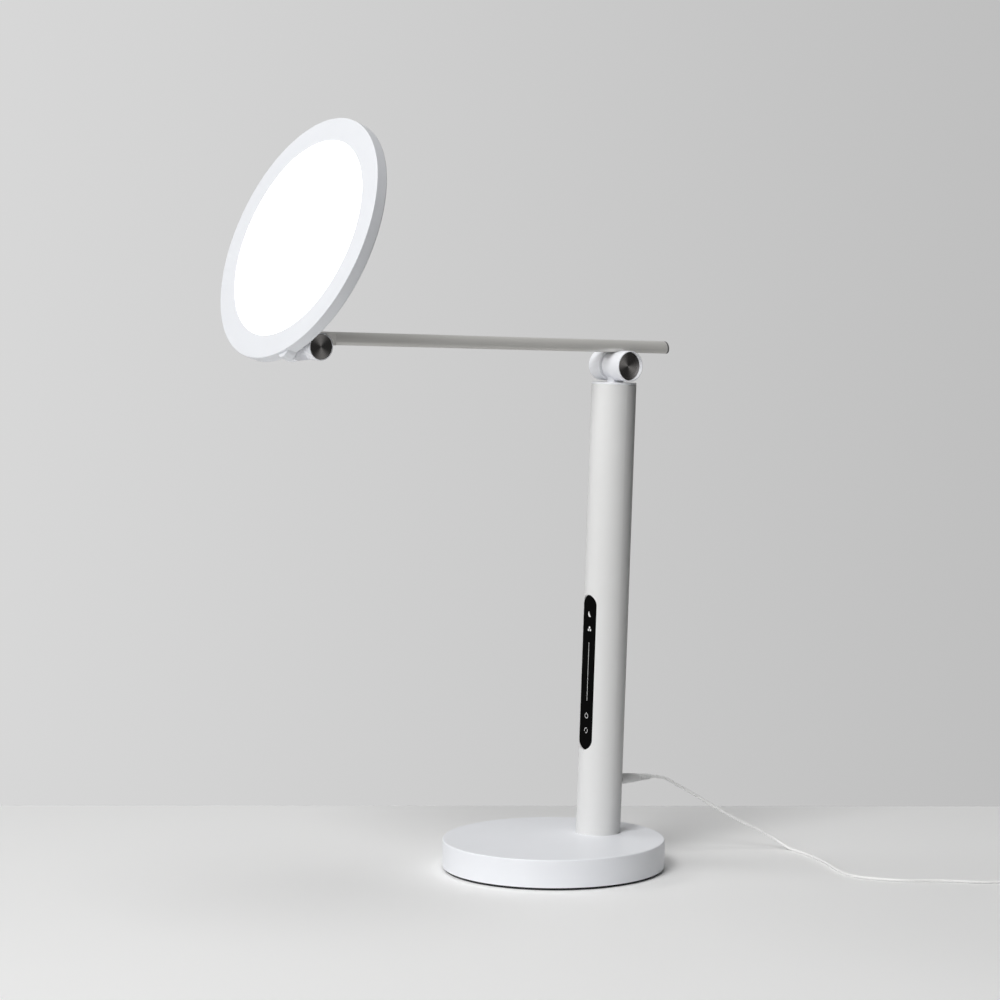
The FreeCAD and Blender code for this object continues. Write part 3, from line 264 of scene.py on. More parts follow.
def turned_metal_painted_highlight(name, colour, roughness, centre, lead):
    """Metal faced on a lathe about an axis along X through centre.

    A painted highlight sits in its colour: a fan of two bright blades round the axis, darker between, which
    lead turns, in radians. The fine grooves are a real bump, with faint rings of colour.
    """
    finish = Finish(name)
    pitch = 0.34 * MM
    coarse_pitch = 2.9 * MM
    at = finish.placed((1, 1, 1), (0, 0, 0), (0.0, -centre.y, -centre.z))
    _, y, z = finish.parts(at)
    radius = (y * y + z * z).root()
    wander = finish.noise(3 * MM, 1.0, 0.5)
    groove = (radius * (math.tau / pitch) + wander * 1.5).sine()
    coarse = (radius * (math.tau / coarse_pitch)).sine()
    angle = z.join("ARCTAN2", z, y)
    # Painted highlight: two bright blades round the axis, painted into the base colour
    fan = (angle * 2.0 + lead).sine() * 0.5 + 0.5
    shade = finish.mix(fan * fan * 0.9 + groove * 0.05, tint(colour, 0.5), tint(colour, 4.0))
    gloss = roughness + coarse * 0.04 + groove * 0.03
    return finish.shade(shade, gloss, 1.0, finish.bump(groove * 0.5 + 0.5, 0.007 * MM))


def polished_metal(name, colour, roughness):
    """Diamond-cut or plated metal with hairline swirls."""
    finish = Finish(name)
    hair = finish.noise(0.5 * MM, 4.0, 0.7, finish.placed((1.0, 1.0, 0.15)))
    cloud = finish.noise(5 * MM, 2.0, 0.5)
    shade = finish.mix(cloud, tint(colour, 0.94), tint(colour, 1.03))
    gloss = roughness + (hair - 0.5) * 0.08 + (cloud - 0.5) * 0.06
    return finish.shade(shade, gloss, 1.0, finish.bump(hair, 0.0012 * MM))


def cast_metal(name, colour, roughness, grain=0.9 * MM):
    """Rough casting or coated iron."""
    finish = Finish(name)
    sand = finish.noise(grain, 4.0, 0.65)
    pits = finish.cells(grain * 3.0)
    stain = finish.noise(22 * MM, 3.0, 0.6)
    shade = finish.mix(stain, tint(colour, 0.8), tint(colour, 1.15))
    height = sand * 0.8 + finish.ramp(pits, 0.0, 0.35) * 0.4
    return finish.shade(shade, roughness + (sand - 0.5) * 0.2, 0.85, finish.bump(height, 0.05 * MM))


def foam_rubber(name, colour, roughness):
    """Dense rubber foam: closed cells and lint."""
    finish = Finish(name)
    cell = finish.cells(0.35 * MM)
    patch = finish.noise(14 * MM, 3.0, 0.6)
    lint = finish.ramp(finish.noise(0.8 * MM, 3.0, 0.7), 0.66, 0.78)
    shade = finish.mix(patch, tint(colour, 0.85), tint(colour, 1.2))
    shade = finish.mix(lint * 0.3, shade, tint(colour, 2.2))
    return finish.shade(shade, roughness + (cell - 0.3) * 0.1, 0.0, finish.bump(cell, 0.03 * MM))


def gloss_panel(name, colour, roughness):
    """Deep black glossy sheet with faint finger smudges and dust."""
    finish = Finish(name)
    smudge = finish.ramp(finish.noise(7 * MM, 3.0, 0.6), 0.48, 0.72)
    streak = finish.noise(1.2 * MM, 3.0, 0.6, finish.placed((1.0, 1.0, 0.25)))
    dust = finish.ramp(finish.noise(0.7 * MM, 2.0, 0.5), 0.74, 0.8)
    shade = finish.mix(dust * 0.4, tint(colour, 1.0), tint(colour, 4.0))
    gloss = roughness + smudge * 0.10 + streak * 0.04
    wave = finish.noise(16 * MM, 1.0, 0.5)
    return finish.shade(shade, gloss, 0.0, finish.bump(wave, 0.01 * MM), Specular_IOR_Level=0.01)


def circuit_board(name, colour):
    """Solder resist over copper tracks, with tinned pads."""
    finish = Finish(name)
    x, _, z = finish.parts(finish.place)
    lane = finish.noise(5 * MM, 1.0, 0.4)
    upright = (x * (3.6 / MM) + lane * 12.0).sine()
    level = (z * (2.1 / MM) + lane * 9.0).sine()
    copper = finish.ramp(upright * level, 0.1, 0.3)
    pads = 1.0 - finish.ramp(finish.cells(3.6 * MM), 0.14, 0.18)
    shade = finish.mix(copper, tint(colour, 0.8), tint(colour, 1.5))
    shade = finish.mix(pads, shade, (0.62, 0.6, 0.55))
    normal = finish.bump(copper * 0.5 + pads * 0.5, 0.035 * MM)
    return finish.shade(shade, 0.38 - pads * 0.12, pads * 0.9, normal)


def opal_diffuser(name, colour, strength):
    """Opal sheet lit from behind: even, with the faintest grain."""
    finish = Finish(name)
    prism = finish.cells(0.55 * MM, 0.25)
    cloud = finish.noise(40 * MM, 2.0, 0.5)
    glow = finish.mix(cloud * 0.5 + prism * 0.2, tint(colour, 1.0), tint(colour, 0.965))
    normal = finish.bump(prism, 0.01 * MM)
    return finish.shade(glow, 0.42, 0.0, normal, Emission_Color=glow, Emission_Strength=strength)


def wire_sleeve(name, colour, roughness):
    """Soft extruded vinyl: faint die ripple and scuffs."""
    finish = Finish(name)
    ripple = finish.noise(1.8 * MM, 2.0, 0.5)
    scuff = finish.noise(3.2 * MM, 4.0, 0.7)
    shade = finish.mix(scuff, tint(colour, 0.95), tint(colour, 1.03))
    gloss = roughness + (scuff - 0.5) * 0.16
    normal = finish.bump(ripple, 0.012 * MM)
    return finish.shade(shade, gloss, 0.0, normal, coat=0.15, Coat_Roughness=0.3)


def screen_print(name, colour):
    """Thin ink, a little worn."""
    finish = Finish(name)
    grain = finish.noise(0.2 * MM, 2.0, 0.6)
    wear = finish.noise(2.5 * MM, 3.0, 0.6)
    shade = finish.mix(wear, tint(colour, 0.86), tint(colour, 1.0))
    return finish.shade(shade, 0.5 + (grain - 0.5) * 0.2, 0.0, finish.bump(grain, 0.003 * MM))


# ---------------------------------------------------------------- settings


def colour_setting(name, text, value):
    return bpy.props.FloatVectorProperty(
        name=name, description=text, default=value, size=3, min=0.0, max=1.0, subtype="COLOR"
    )


def length_setting(name, text, value):
    return bpy.props.FloatProperty(
        name=name, description=text, default=value, min=0.0, unit="LENGTH", subtype="DISTANCE", precision=5
    )


def share_setting(name, text, value):
    return bpy.props.FloatProperty(
        name=name, description=text, default=value, min=0.0, max=1.0, subtype="FACTOR"
    )


def power_setting(name, text, value):
    return bpy.props.FloatProperty(
        name=name, description=text, default=value, min=0.0, unit="POWER", subtype="POWER"
    )


class LampFinishSettings(bpy.types.PropertyGroup):
    """Colours and gloss of the lamp's own surfaces."""

    shell: colour_setting("Base white", "Moulded base cover", (0.89, 0.905, 0.94))
    stem: colour_setting("Stem white", "Coated stem tube", (0.80, 0.80, 0.795))
    joints: colour_setting("Joint white", "Neck and hinge cheeks", (0.89, 0.90, 0.93))
    head: colour_setting("Head white", "Head shell and bezel", (0.775, 0.79, 0.82))
    arm: colour_setting("Arm metal", "Anodised arm tube", (0.63, 0.62, 0.595))
    caps: colour_setting("Turned caps", "Dark faced caps on the hinges", (0.075, 0.072, 0.070))
    glow: colour_setting("Light", "Colour of the lit diffuser", (1.0, 1.0, 1.0))
    glow_strength: bpy.props.FloatProperty(
        name="Light strength", description="Emission of the lit diffuser", default=1.0, min=0.0, max=20.0
    )
    satin: share_setting("Satin", "Roughness of the white mouldings", 0.36)


class LampCordSettings(bpy.types.PropertyGroup):
    """The supply cord and what is on it."""

    colour: colour_setting("Cord colour", "Vinyl of the cord", (0.88, 0.88, 0.87))
    diameter: length_setting("Cord diameter", "Outside of the cord", 2.5 * MM)
    coil_turns: bpy.props.IntProperty(
        name="Coil turns", description="Turns in the put-away coil", default=12, min=1
    )
    plug: colour_setting("Plug colour", "Moulding of the plug", (0.74, 0.74, 0.735))
    relief_length: length_setting("Relief length", "Ribbed part of the plug", 14.2 * MM)
    relief_ribs: bpy.props.IntProperty(
        name="Relief ribs", description="Ribs on the strain relief", default=6, min=2
    )


class LampCapSettings(bpy.types.PropertyGroup):
    """Turned caps on the hinges."""

    facets: bpy.props.IntProperty(
        name="Facets", description="Sides of a turned disc", default=128, min=24, max=512
    )
    bevel: length_setting("Edge break", "Width of the broken edge", 0.22 * MM)
    groove: length_setting("Groove depth", "Depth of the turned grooves", 0.05 * MM)


class LampIconSettings(bpy.types.PropertyGroup):
    """Printed marks on the touch panel."""

    colour: colour_setting("Ink", "White ink of the marks", (0.82, 0.82, 0.82))
    thickness: length_setting("Ink thickness", "Height of the ink above the panel", 0.04 * MM)
    size: length_setting("Mark size", "Height of a round mark", 5.0 * MM)


class LampStageSettings(bpy.types.PropertyGroup):
    """Floor, background, lamps and camera."""

    floor: colour_setting("Floor", "Table top", (0.93, 0.93, 0.925))
    wall_left: colour_setting("Wall, left", "Brighter side of the background", (0.755, 0.755, 0.755))
    wall_right: colour_setting("Wall, right", "Darker side of the background", (0.45, 0.45, 0.45))
    ambient: share_setting("Ambient", "Even light from all round", 0.003)
    key_power: power_setting("Key power", "Soft lamp high in front", 58.0)
    side_power: power_setting("Side power", "Soft lamp on the left", 20.4)
    low_power: power_setting("Low power", "Soft lamp low in front, to the left", 20.2)
    fill_power: power_setting("Fill power", "Soft lamp low beside the camera", 16.3)
    overhead_power: power_setting("Overhead power", "Soft lamp above", 28.0)


# ---------------------------------------------------------------- modelling by operators


def clear_selection():
    """Leaves edit mode and deselects everything."""
    if bpy.context.object and bpy.context.object.mode != "OBJECT":
        bpy.ops.object.mode_set(mode="OBJECT")
    bpy.ops.object.select_all(action="DESELECT")


def name_new(name):
    """The object that an operator has just added, named and with its place in its mesh."""
    piece = bpy.context.object
    piece.name = name
    piece.data.name = name
    bpy.ops.object.transform_apply(location=True, rotation=True, scale=True)
    return piece


def open_mesh(kind="FACE"):
    """Opens the active piece's mesh with nothing selected."""
    bpy.ops.object.mode_set(mode="EDIT")
    bpy.ops.mesh.select_mode(type=kind)
    bpy.ops.mesh.select_all(action="DESELECT")


def close_mesh():
    bpy.ops.object.mode_set(mode="OBJECT")


def pick(group, test):
    """Selects the faces, edges or verts of the open mesh that pass the test."""
    form = bmesh.from_edit_mesh(bpy.context.object.data)
    found = [element for element in getattr(form, group) if test(element)]
    for element in found:
        element.select_set(True)
    form.select_flush(True)
    bmesh.update_edit_mesh(bpy.context.object.data)
    if not found:
        raise RuntimeError(f"nothing to select among the {group} of {bpy.context.object.name}")


def smooth(angle=30.0):
    bpy.ops.object.shade_smooth_by_angle(angle=math.radians(angle))


def dress(piece, material, body, replaced=()):
    """Gives a piece its material and the body it rides on, and hides the solids it stands for."""
    piece.data.materials.clear()
    piece.data.materials.append(material)
    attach(piece, body)
    if replaced:
        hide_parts(*replaced)


def duplicate(piece, name):
    """A copy of a piece with its own mesh."""
    copy = piece.copy()
    copy.data = piece.data.copy()
    copy.name = name
    copy.data.name = name
    bpy.context.scene.collection.objects.link(copy)
    return copy


def turn_faces_out():
    """Makes every face of the active piece point outwards."""
    open_mesh()
    bpy.ops.mesh.select_all(action="SELECT")
    bpy.ops.mesh.normals_make_consistent(inside=False)
    close_mesh()


def turned_piece(name, start, axis, profile, sides=48):
    """A round piece along an axis, extruded from station to station.

    Each station of the profile is a way along the axis and a radius.
    """
    clear_selection()
    turn = axis.to_track_quat("Z", "Y").to_euler()
    first, radius = profile[0]
    bpy.ops.mesh.primitive_circle_add(
        vertices=sides, radius=radius, fill_type="NGON", location=start + axis * first, rotation=turn
    )
    piece = name_new(name)
    open_mesh()
    bpy.ops.mesh.select_all(action="SELECT")
    at = first
    for along, wanted in profile[1:]:
        bpy.ops.mesh.extrude_region_move(TRANSFORM_OT_translate={"value": axis * (along - at)})
        share = wanted / radius
        bpy.ops.transform.resize(value=(share, share, share), center_override=start + axis * along)
        at, radius = along, wanted
    close_mesh()
    turn_faces_out()
    smooth(35)
    return piece


# ---------------------------------------------------------------- pieces


HINGES = {"shoulder": SHOULDER, "elbow": ELBOW}
# How far the painted highlight fan in each hinge's cap colour is turned, in radians
CAP_PAINTED_HIGHLIGHT_TURNS = {"shoulder": 2.62, "elbow": -1.82}
CAP_ROUGHNESS = 0.24
CAP_THICKNESS = 1.2 * MM
CAP_GROOVES = 5


class LAMP_OT_caps(bpy.types.Operator):
    """Turned dark caps on both ends of the shoulder and the elbow"""

    bl_idname = "lamp.caps"
    bl_label = "Turned caps"

    def execute(self, context):
        finishes = context.scene.lamp_finishes
        for hinge, centre in HINGES.items():
            low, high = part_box(hinge + "_caps")
            fan = CAP_PAINTED_HIGHLIGHT_TURNS[hinge]
            material = turned_metal_painted_highlight("cap_turned_" + hinge, finishes.caps, CAP_ROUGHNESS, centre, fan)
            near = self.cap(context.scene.lamp_caps, hinge, centre, high.x, (high.z - low.z) / 2)
            far = duplicate(near, hinge + "_cap_far")
            clear_selection()
            context.view_layer.objects.active = far
            far.select_set(True)
            bpy.ops.transform.resize(value=(-1, 1, 1), center_override=(0, 0, 0), orient_type="GLOBAL")
            bpy.ops.object.transform_apply(location=True, rotation=True, scale=True)
            turn_faces_out()
            for cap in (near, far):
                dress(cap, material, "arm", [hinge + "_caps"])
        return {"FINISHED"}

    def cap(self, settings, hinge, centre, end, radius):
        """The near cap: a disc with a broken edge, and grooves between the flat lands of its face."""
        clear_selection()
        bpy.ops.mesh.primitive_cylinder_add(
            vertices=settings.facets,
            radius=radius,
            depth=CAP_THICKNESS,
            location=(end - CAP_THICKNESS / 2, centre.y, centre.z),
            rotation=(0, math.pi / 2, 0),
        )
        cap = name_new(hinge + "_cap_near")
        open_mesh()
        pick("faces", lambda face: face.normal.x > 0.9)
        bpy.ops.mesh.bevel(offset=settings.bevel, segments=3, affect="EDGES")
        bpy.ops.mesh.select_all(action="DESELECT")
        pick("faces", lambda face: face.normal.x > 0.99 and face.calc_area() > radius * radius)
        outer_land = radius * 0.07
        inner_land = radius * 0.1
        for land in [outer_land] + [inner_land] * (CAP_GROOVES - 1):
            wall = land * 0.35
            bpy.ops.mesh.inset(thickness=land, depth=0.0)
            bpy.ops.mesh.inset(thickness=wall, depth=-settings.groove)
            bpy.ops.mesh.inset(thickness=wall, depth=settings.groove * 0.4)
        close_mesh()
        smooth(40)
        return cap


# The plug in millimetres: the way along it, up to 0 where the cord leaves, and the radius there
PLUG_BARREL = ((-41.2, 2.45), (-40.9, 2.68), (-32.35, 2.68))
PLUG_SHOULDER = ((-32.3, 4.0), (-32.0, 4.42), (-31.4, 4.58), (-27.5, 4.36))
PLUG_GROOVE = ((-27.3, 4.18), (-26.7, 4.14), (-26.5, 4.3))
PLUG_GRIP = ((-18.5, 3.82), (-16.5, 3.62), (-14.6, 3.4), (-14.3, 3.1))
PLUG_MOUTH = (-0.1, 1.9)
# The ribs shrink by the taper over the whole relief, and each by the fall over its own length
RIB_RADIUS = 3.16
RIB_TAPER = 0.82
RIB_FALL = 0.04
RIB_ROUND = 0.22
# The slots shrink by their taper from one to the next
SLOT_WIDTH = 0.8
SLOT_LEAN = 0.08
SLOT_RADIUS = 2.1
SLOT_TAPER = 0.05


class LAMP_OT_plug(bpy.types.Operator):
    """Moulded low-voltage plug with a tapered grip and a ribbed strain relief"""

    bl_idname = "lamp.plug"
    bl_label = "Plug"

    def execute(self, context):
        settings = context.scene.lamp_cord
        profile = [*PLUG_BARREL, *PLUG_SHOULDER, *PLUG_GROOVE, *PLUG_GRIP]
        profile += self.strain_relief(settings.relief_length / MM, settings.relief_ribs)
        profile.append(PLUG_MOUTH)
        stations = [(along * MM, radius * MM) for along, radius in profile]
        plug = turned_piece("plug", PLUG_END, PLUG_AXIS, stations)
        dress(plug, moulded_plastic("plug_satin", settings.plug, 0.4), "stand", ["dc_plug"])
        return {"FINISHED"}

    def strain_relief(self, length, ribs):
        """Ribs that get smaller towards the cord, with slots between them."""
        made = []
        pitch = length / ribs
        last = ribs - 1
        for rib in range(ribs):
            near = rib * pitch - length
            far = near + pitch - SLOT_WIDTH
            radius = RIB_RADIUS - RIB_TAPER * rib / last
            made += [(near, radius - RIB_ROUND), (near + RIB_ROUND, radius)]
            made += [(far - RIB_ROUND, radius - RIB_FALL), (far, radius - RIB_FALL - RIB_ROUND)]
            if rib < last:
                core = SLOT_RADIUS - rib * SLOT_TAPER
                made += [(far + SLOT_LEAN, core), (far + SLOT_WIDTH - SLOT_LEAN, core)]
        return made


SLIDER_WIDTH = 0.4 * MM
SLIDER_LENGTH = 48 * MM
# Shares of a mark's size
RING_RADIUS = 0.44
STROKE = 0.085
DOT_RADIUS = 0.2
DOT_PLACES = ((0.0, 0.24), (-0.24, -0.16), (0.24, -0.16))


class LAMP_OT_icons(bpy.types.Operator):
    """Printed generic marks on the touch panel: moon, dots, slider line, power ring and arrows"""

    bl_idname = "lamp.icons"
    bl_label = "Panel marks"

    def execute(self, context):
        settings = context.scene.lamp_icons
        ink = screen_print("panel_ink", settings.colour)
        # Each mark's name, the height of its middle in millimetres, and what draws it
        for name, height, draw in (
            ("mark_moon", 204.3, self.moon),
            ("mark_dots", 192.0, self.dots),
            ("mark_slider", 157.2, self.slider),
            ("mark_power", 121.2, self.power),
            ("mark_arrows", 109.2, self.arrows),
        ):
            middle = Vector((0.0, 0.0, height * MM))
            clear_selection()
            mark = draw(name, middle, settings.size)
            self.lay(mark, settings.thickness)
            dress(mark, ink, "stand")
        return {"FINISHED"}

    def disc(self, name, middle, radius, sides=32, turn=0.0):
        """A flat disc that faces the panel's front."""
        bpy.ops.mesh.primitive_circle_add(
            vertices=sides,
            radius=radius,
            fill_type="NGON",
            location=middle,
            rotation=(math.pi / 2, turn, 0),
        )
        return name_new(name)

    def joined(self, first, *others):
        """The pieces as one."""
        clear_selection()
        for piece in (first, *others):
            piece.select_set(True)
        bpy.context.view_layer.objects.active = first
        bpy.ops.object.join()
        return first

    def moon(self, name, middle, size):
        """A disc whose one half is folded back into the other, and turned."""
        mark = self.disc(name, middle, size * 0.5)
        open_mesh("VERT")
        pick("verts", lambda vertex: vertex.co.x > middle.x + size * 0.02)
        hollow = -0.12
        lean = math.radians(32)
        bpy.ops.transform.resize(value=(hollow, 1, 1), center_override=middle)
        bpy.ops.mesh.select_all(action="SELECT")
        bpy.ops.transform.rotate(value=lean, orient_axis="Y", center_override=middle)
        close_mesh()
        return mark

    def dots(self, name, middle, size):
        """Three dots in a triangle."""
        spots = [
            self.disc(name, middle + Vector((x * size, 0, z * size)), size * DOT_RADIUS, 20)
            for x, z in DOT_PLACES
        ]
        return self.joined(*spots)

    def bar(self, name, middle, width, height):
        """A flat upright bar that faces the panel's front."""
        bpy.ops.mesh.primitive_plane_add(size=1.0, location=middle, rotation=(math.pi / 2, 0, 0))
        bpy.context.object.scale = (width, height, 1.0)
        return name_new(name)

    def slider(self, name, middle, size):
        """A long thin line. It has a length of its own, whatever the size of the other marks."""
        mark = self.bar(name, middle, SLIDER_WIDTH, SLIDER_LENGTH)
        open_mesh()
        bpy.ops.mesh.select_all(action="SELECT")
        bpy.ops.mesh.subdivide(number_cuts=5)
        close_mesh()
        return mark

    def ring(self, name, middle, size, gaps):
        """A flat ring with gaps. A gap is its direction from the middle and half its width, in degrees."""
        mark = self.disc(name, middle, size * RING_RADIUS, 40)
        open_mesh()
        bpy.ops.mesh.select_all(action="SELECT")
        bpy.ops.mesh.inset(thickness=size * STROKE)
        bpy.ops.mesh.delete(type="FACE")

        def in_gap(face):
            away = face.calc_center_median() - middle
            at = math.degrees(math.atan2(away.z, away.x)) % 360
            return any(abs((at - gap + 180) % 360 - 180) < half for gap, half in gaps)

        pick("faces", in_gap)
        bpy.ops.mesh.delete(type="FACE")
        close_mesh()
        return mark

    def power(self, name, middle, size):
        """A ring open at the top, with a short bar in the gap."""
        mark = self.ring(name, middle, size, ((90, 32),))
        top = middle + Vector((0, 0, size * 0.4))
        stroke = self.bar(name + "_bar", top, size * STROKE, size * 0.36)
        return self.joined(mark, stroke)

    def arrows(self, name, middle, size):
        """A ring with two gaps, and an arrow head beside each."""
        gaps = (48, 228)
        half_gap = 24
        mark = self.ring(name, middle, size, [(gap, half_gap) for gap in gaps])
        heads = []
        for gap in gaps:
            at = math.radians(gap + 30)
            turn = math.radians(gap - 10)
            away = Vector((math.cos(at), 0, math.sin(at))) * size * 0.4
            heads.append(self.disc(name + "_head", middle + away, size * 0.13, 3, turn))
        return self.joined(mark, *heads)

    def lay(self, mark, thickness):
        """Lays the flat mark on the panel's face and gives it the ink's thickness."""
        panel = NODES["touch_panel"]
        for vertex in mark.data.vertices:
            vertex.co.y = 0.0
        lay = mark.modifiers.new("lay", "SHRINKWRAP")
        lay.target = panel
        lay.wrap_method = "PROJECT"
        lay.use_project_y = True
        lay.use_project_x = False
        lay.use_project_z = False
        lay.use_positive_direction = True
        lay.use_negative_direction = False
        lay.offset = thickness
        ink = mark.modifiers.new("ink", "SOLIDIFY")
        ink.thickness = thickness * 1.5
        ink.offset = -1.0
        clear_selection()
        mark.select_set(True)
        bpy.context.view_layer.objects.active = mark
        bpy.ops.object.modifier_apply(modifier="lay")
        bpy.ops.object.modifier_apply(modifier="ink")
        turn_faces_out()
        smooth(30)


# The cord's route in millimetres, from the plug along the table to the coil
LEAD = (
    (0.0, 98.03, 64.65),
    (0.0, 110.02, 64.18),
    (1.5, 126.5, 54.5),
    (6.0, 143.0, 44.5),
    (13.0, 157.5, 34.5),
    (22.0, 171.5, 25.0),
    (32.0, 186.5, 16.5),
    (41.5, 198.0, 8.5),
    (53.0, 203.5, 1.25),
    (70.0, 202.0, 1.25),
    (95.0, 197.5, 1.25),
    (124.0, 187.5, 1.25),
    (150.0, 176.0, 1.25),
    (172.0, 174.0, 1.25),
    (190.0, 185.0, 1.25),
    (205.0, 196.5, 1.25),
    (214.0, 212.5, 1.25),
    (227.0, 227.5, 1.25),
    (240.5, 239.5, 1.25),
    (249.7, 255.7, 1.25),
    (259.2, 268.6, 1.25),
)
# From the coil to the wall adapter
TAIL = (
    (287.5, 285.4, 3.4),
    (294.0, 284.9, 2.2),
    (300.5, 284.5, 1.6),
    (308.3, 283.0, 4.2),
    (316.1, 283.0, 4.2),
)
COIL_MIDDLE = Vector((281.0, 268.0, 0.0))
# Radii of the coil's rows, heights of its layers, and the row and layer of each turn
COIL_ROWS = (10.25, 12.75, 15.25, 17.75)
COIL_LAYERS = (1.25, 3.75, 6.25)
COIL_ORDER = (
    (3, 0), (2, 0), (1, 0), (0, 0), (0, 1), (0, 2), (1, 2), (1, 1), (2, 1), (2, 2), (3, 2), (3, 1),
)
# Where the first turn begins, in degrees round the coil, and the points in each turn
COIL_START = 142.0
COIL_POINTS = 12


class LAMP_OT_cord(bpy.types.Operator):
    """The supply cord from the plug to the coil and the wall adapter"""

    bl_idname = "lamp.cord"
    bl_label = "Cord"

    def execute(self, context):
        settings = context.scene.lamp_cord
        points = [Vector(p) for p in LEAD] + self.coil(settings) + [Vector(p) for p in TAIL]
        line = bpy.data.curves.new("cord", "CURVE")
        line.dimensions = "3D"
        line.bevel_depth = settings.diameter / 2
        line.bevel_resolution = 4
        line.resolution_u = 6
        line.use_fill_caps = True
        spline = line.splines.new("NURBS")
        spline.points.add(len(points) - 1)
        for place, point in zip(points, spline.points):
            point.co = (*(place * MM), 1.0)
        spline.order_u = 3
        spline.use_endpoint_u = True
        cord = bpy.data.objects.new("cord", line)
        context.scene.collection.objects.link(cord)
        dress(
            cord,
            wire_sleeve("cord_vinyl", settings.colour, 0.42),
            "stand",
            ["cord_lead", "cord_coil", "cord_tail"],
        )
        return {"FINISHED"}

    def coil(self, settings):
        """The turns, each one a diameter from its neighbours.

        Each turn is held on its own row and layer for a point less than the turn before it.
        """
        step = math.tau / COIL_POINTS
        spread = 1.0 / math.cos(step / 2)
        made = []
        places = [COIL_ORDER[turn % len(COIL_ORDER)] for turn in range(settings.coil_turns)]
        for turn, (row, layer) in enumerate(places):
            ahead = places[min(turn + 1, len(places) - 1)]
            held = COIL_POINTS - turn % COIL_POINTS
            for part in range(COIL_POINTS):
                here = (row, layer) if part < held else ahead
                angle = math.radians(COIL_START) - step * (turn * COIL_POINTS + part + 0.5)
                radius = COIL_ROWS[here[0]] * spread
                made.append(
                    COIL_MIDDLE
                    + Vector((radius * math.cos(angle), radius * math.sin(angle), COIL_LAYERS[here[1]]))
                )
        return made


ARM_SLOPE = math.radians(4.1)


class LAMP_OT_finishes(bpy.types.Operator):
    """Gives every solid of the lamp its finish"""

    bl_idname = "lamp.finishes"
    bl_label = "Finishes"

    def execute(self, context):
        own = context.scene.lamp_finishes
        cord = context.scene.lamp_cord
        along_arm = (-ARM_SLOPE, 0, 0)
        steel = (0.56, 0.56, 0.57)
        made = {
            "base_white": moulded_plastic("base_satin", own.shell, own.satin),
            "pad_dark": foam_rubber("pad_foam", (0.022, 0.022, 0.024), 0.85),
            "plate_steel": polished_metal("plate_zinc", steel, 0.42),
            "weight_iron": cast_metal("weight_cast", (0.11, 0.11, 0.115), 0.62),
            "screw_steel": polished_metal("screw_plated", steel, 0.3),
            "foot_casting": cast_metal("foot_cast", (0.42, 0.42, 0.42), 0.5, 0.5 * MM),
            "stem_white": powder_coat("stem_coat", own.stem, 0.62),
            "joint_white": moulded_plastic("joint_satin", own.joints, 0.30),
            "bracket_white": powder_coat("bracket_paint", own.joints, 0.4),
            "panel_black": gloss_panel("panel_gloss", (0.0021, 0.0021, 0.0022), 0.12),
            "board_green": circuit_board("board_resist", (0.012, 0.12, 0.035)),
            "spring_metal": polished_metal("spring_nickel", (0.6, 0.58, 0.52), 0.25),
            "carrier_plastic": moulded_plastic("carrier_moulded", (0.10, 0.10, 0.105), 0.55),
            "wire_black": wire_sleeve("wire_jacket", (0.018, 0.018, 0.019), 0.45),
            "jack_black": moulded_plastic("jack_moulded", (0.016, 0.016, 0.017), 0.35),
            "plug_grey": moulded_plastic("plug_moulded", (0.60, 0.60, 0.60), 0.42),
            "washer_nylon": moulded_plastic("washer_nylon", (0.66, 0.65, 0.60), 0.4),
            "cap_black": turned_metal_painted_highlight("cap_turned", own.caps, CAP_ROUGHNESS, SHOULDER, CAP_PAINTED_HIGHLIGHT_TURNS["shoulder"]),
            "ring_white": powder_coat("ring_paint", own.joints, 0.36),
            "arm_metal": drawn_aluminium("arm_anodised", own.arm, 0.36, along_arm, 0.5),
            "block_metal": drawn_aluminium("block_anodised", own.arm, 0.38, along_arm, 0.5),
            "tail_dark": moulded_plastic("tail_moulded", (0.13, 0.13, 0.13), 0.45),
            "head_white": moulded_plastic("head_satin", own.head, own.satin),
            "diffuser_white": opal_diffuser("diffuser_opal", own.glow, own.glow_strength),
            "guide_clear": moulded_plastic("guide_acrylic", (0.8, 0.82, 0.83), 0.08),
            "reflector_white": moulded_plastic("reflector_film", (0.86, 0.86, 0.86), 0.3),
            "spreader_metal": drawn_aluminium("spreader_plate", (0.62, 0.62, 0.62), 0.4, (0, 0, 0)),
            "strip_white": circuit_board("strip_resist", (0.6, 0.6, 0.58)),
            "led_yellow": moulded_plastic("chip_phosphor", (0.75, 0.55, 0.08), 0.4),
            "cord_white": wire_sleeve("cord_sleeve", cord.colour, 0.42),
            "tie_white": moulded_plastic("tie_moulded", (0.72, 0.72, 0.70), 0.4),
            "adapter_white": moulded_plastic("adapter_satin", (0.78, 0.78, 0.77), 0.4),
            "blade_metal": polished_metal("blade_nickel", (0.66, 0.62, 0.54), 0.24),
        }
        for row in frame["record"]["subparts"]:
            node = NODES[row["node"]]
            node.data.materials.clear()
            node.data.materials.append(made[row["material_slot"]])
        return {"FINISHED"}


CAMERA_PLACE = Vector((1.9489, -1.4005, 0.5007))
CAMERA_AROUND = math.radians(55.34)
CAMERA_DOWN = math.radians(4.81)
CAMERA_ROLL = math.radians(0.065)
# Rays that see the wall. The others meet the even light.
RAYS_THAT_SEE = ("Camera", "Glossy", "Transmission")
# The table top, seen along the camera's way round
TABLE_LEFT = -1.6
TABLE_RIGHT = 0.52
TABLE_NEAR = -1.6
TABLE_FAR = 0.268
TABLE_THICKNESS = 0.04
# Where the lamps look, how wide each is, and where each hangs
AIM = Vector((0.0, -0.08, 0.25))
LAMP_SIZE = 1.6
LAMPS = {
    "key": (0.963, -2.113, 2.931),
    "side": (-1.88, -1.99, 2.5),
    "low": (1.08, -3.35, 0.86),
    "fill": (1.708, -2.998, 1.156),
    "overhead": (0.0, -0.08, 3.25),
}


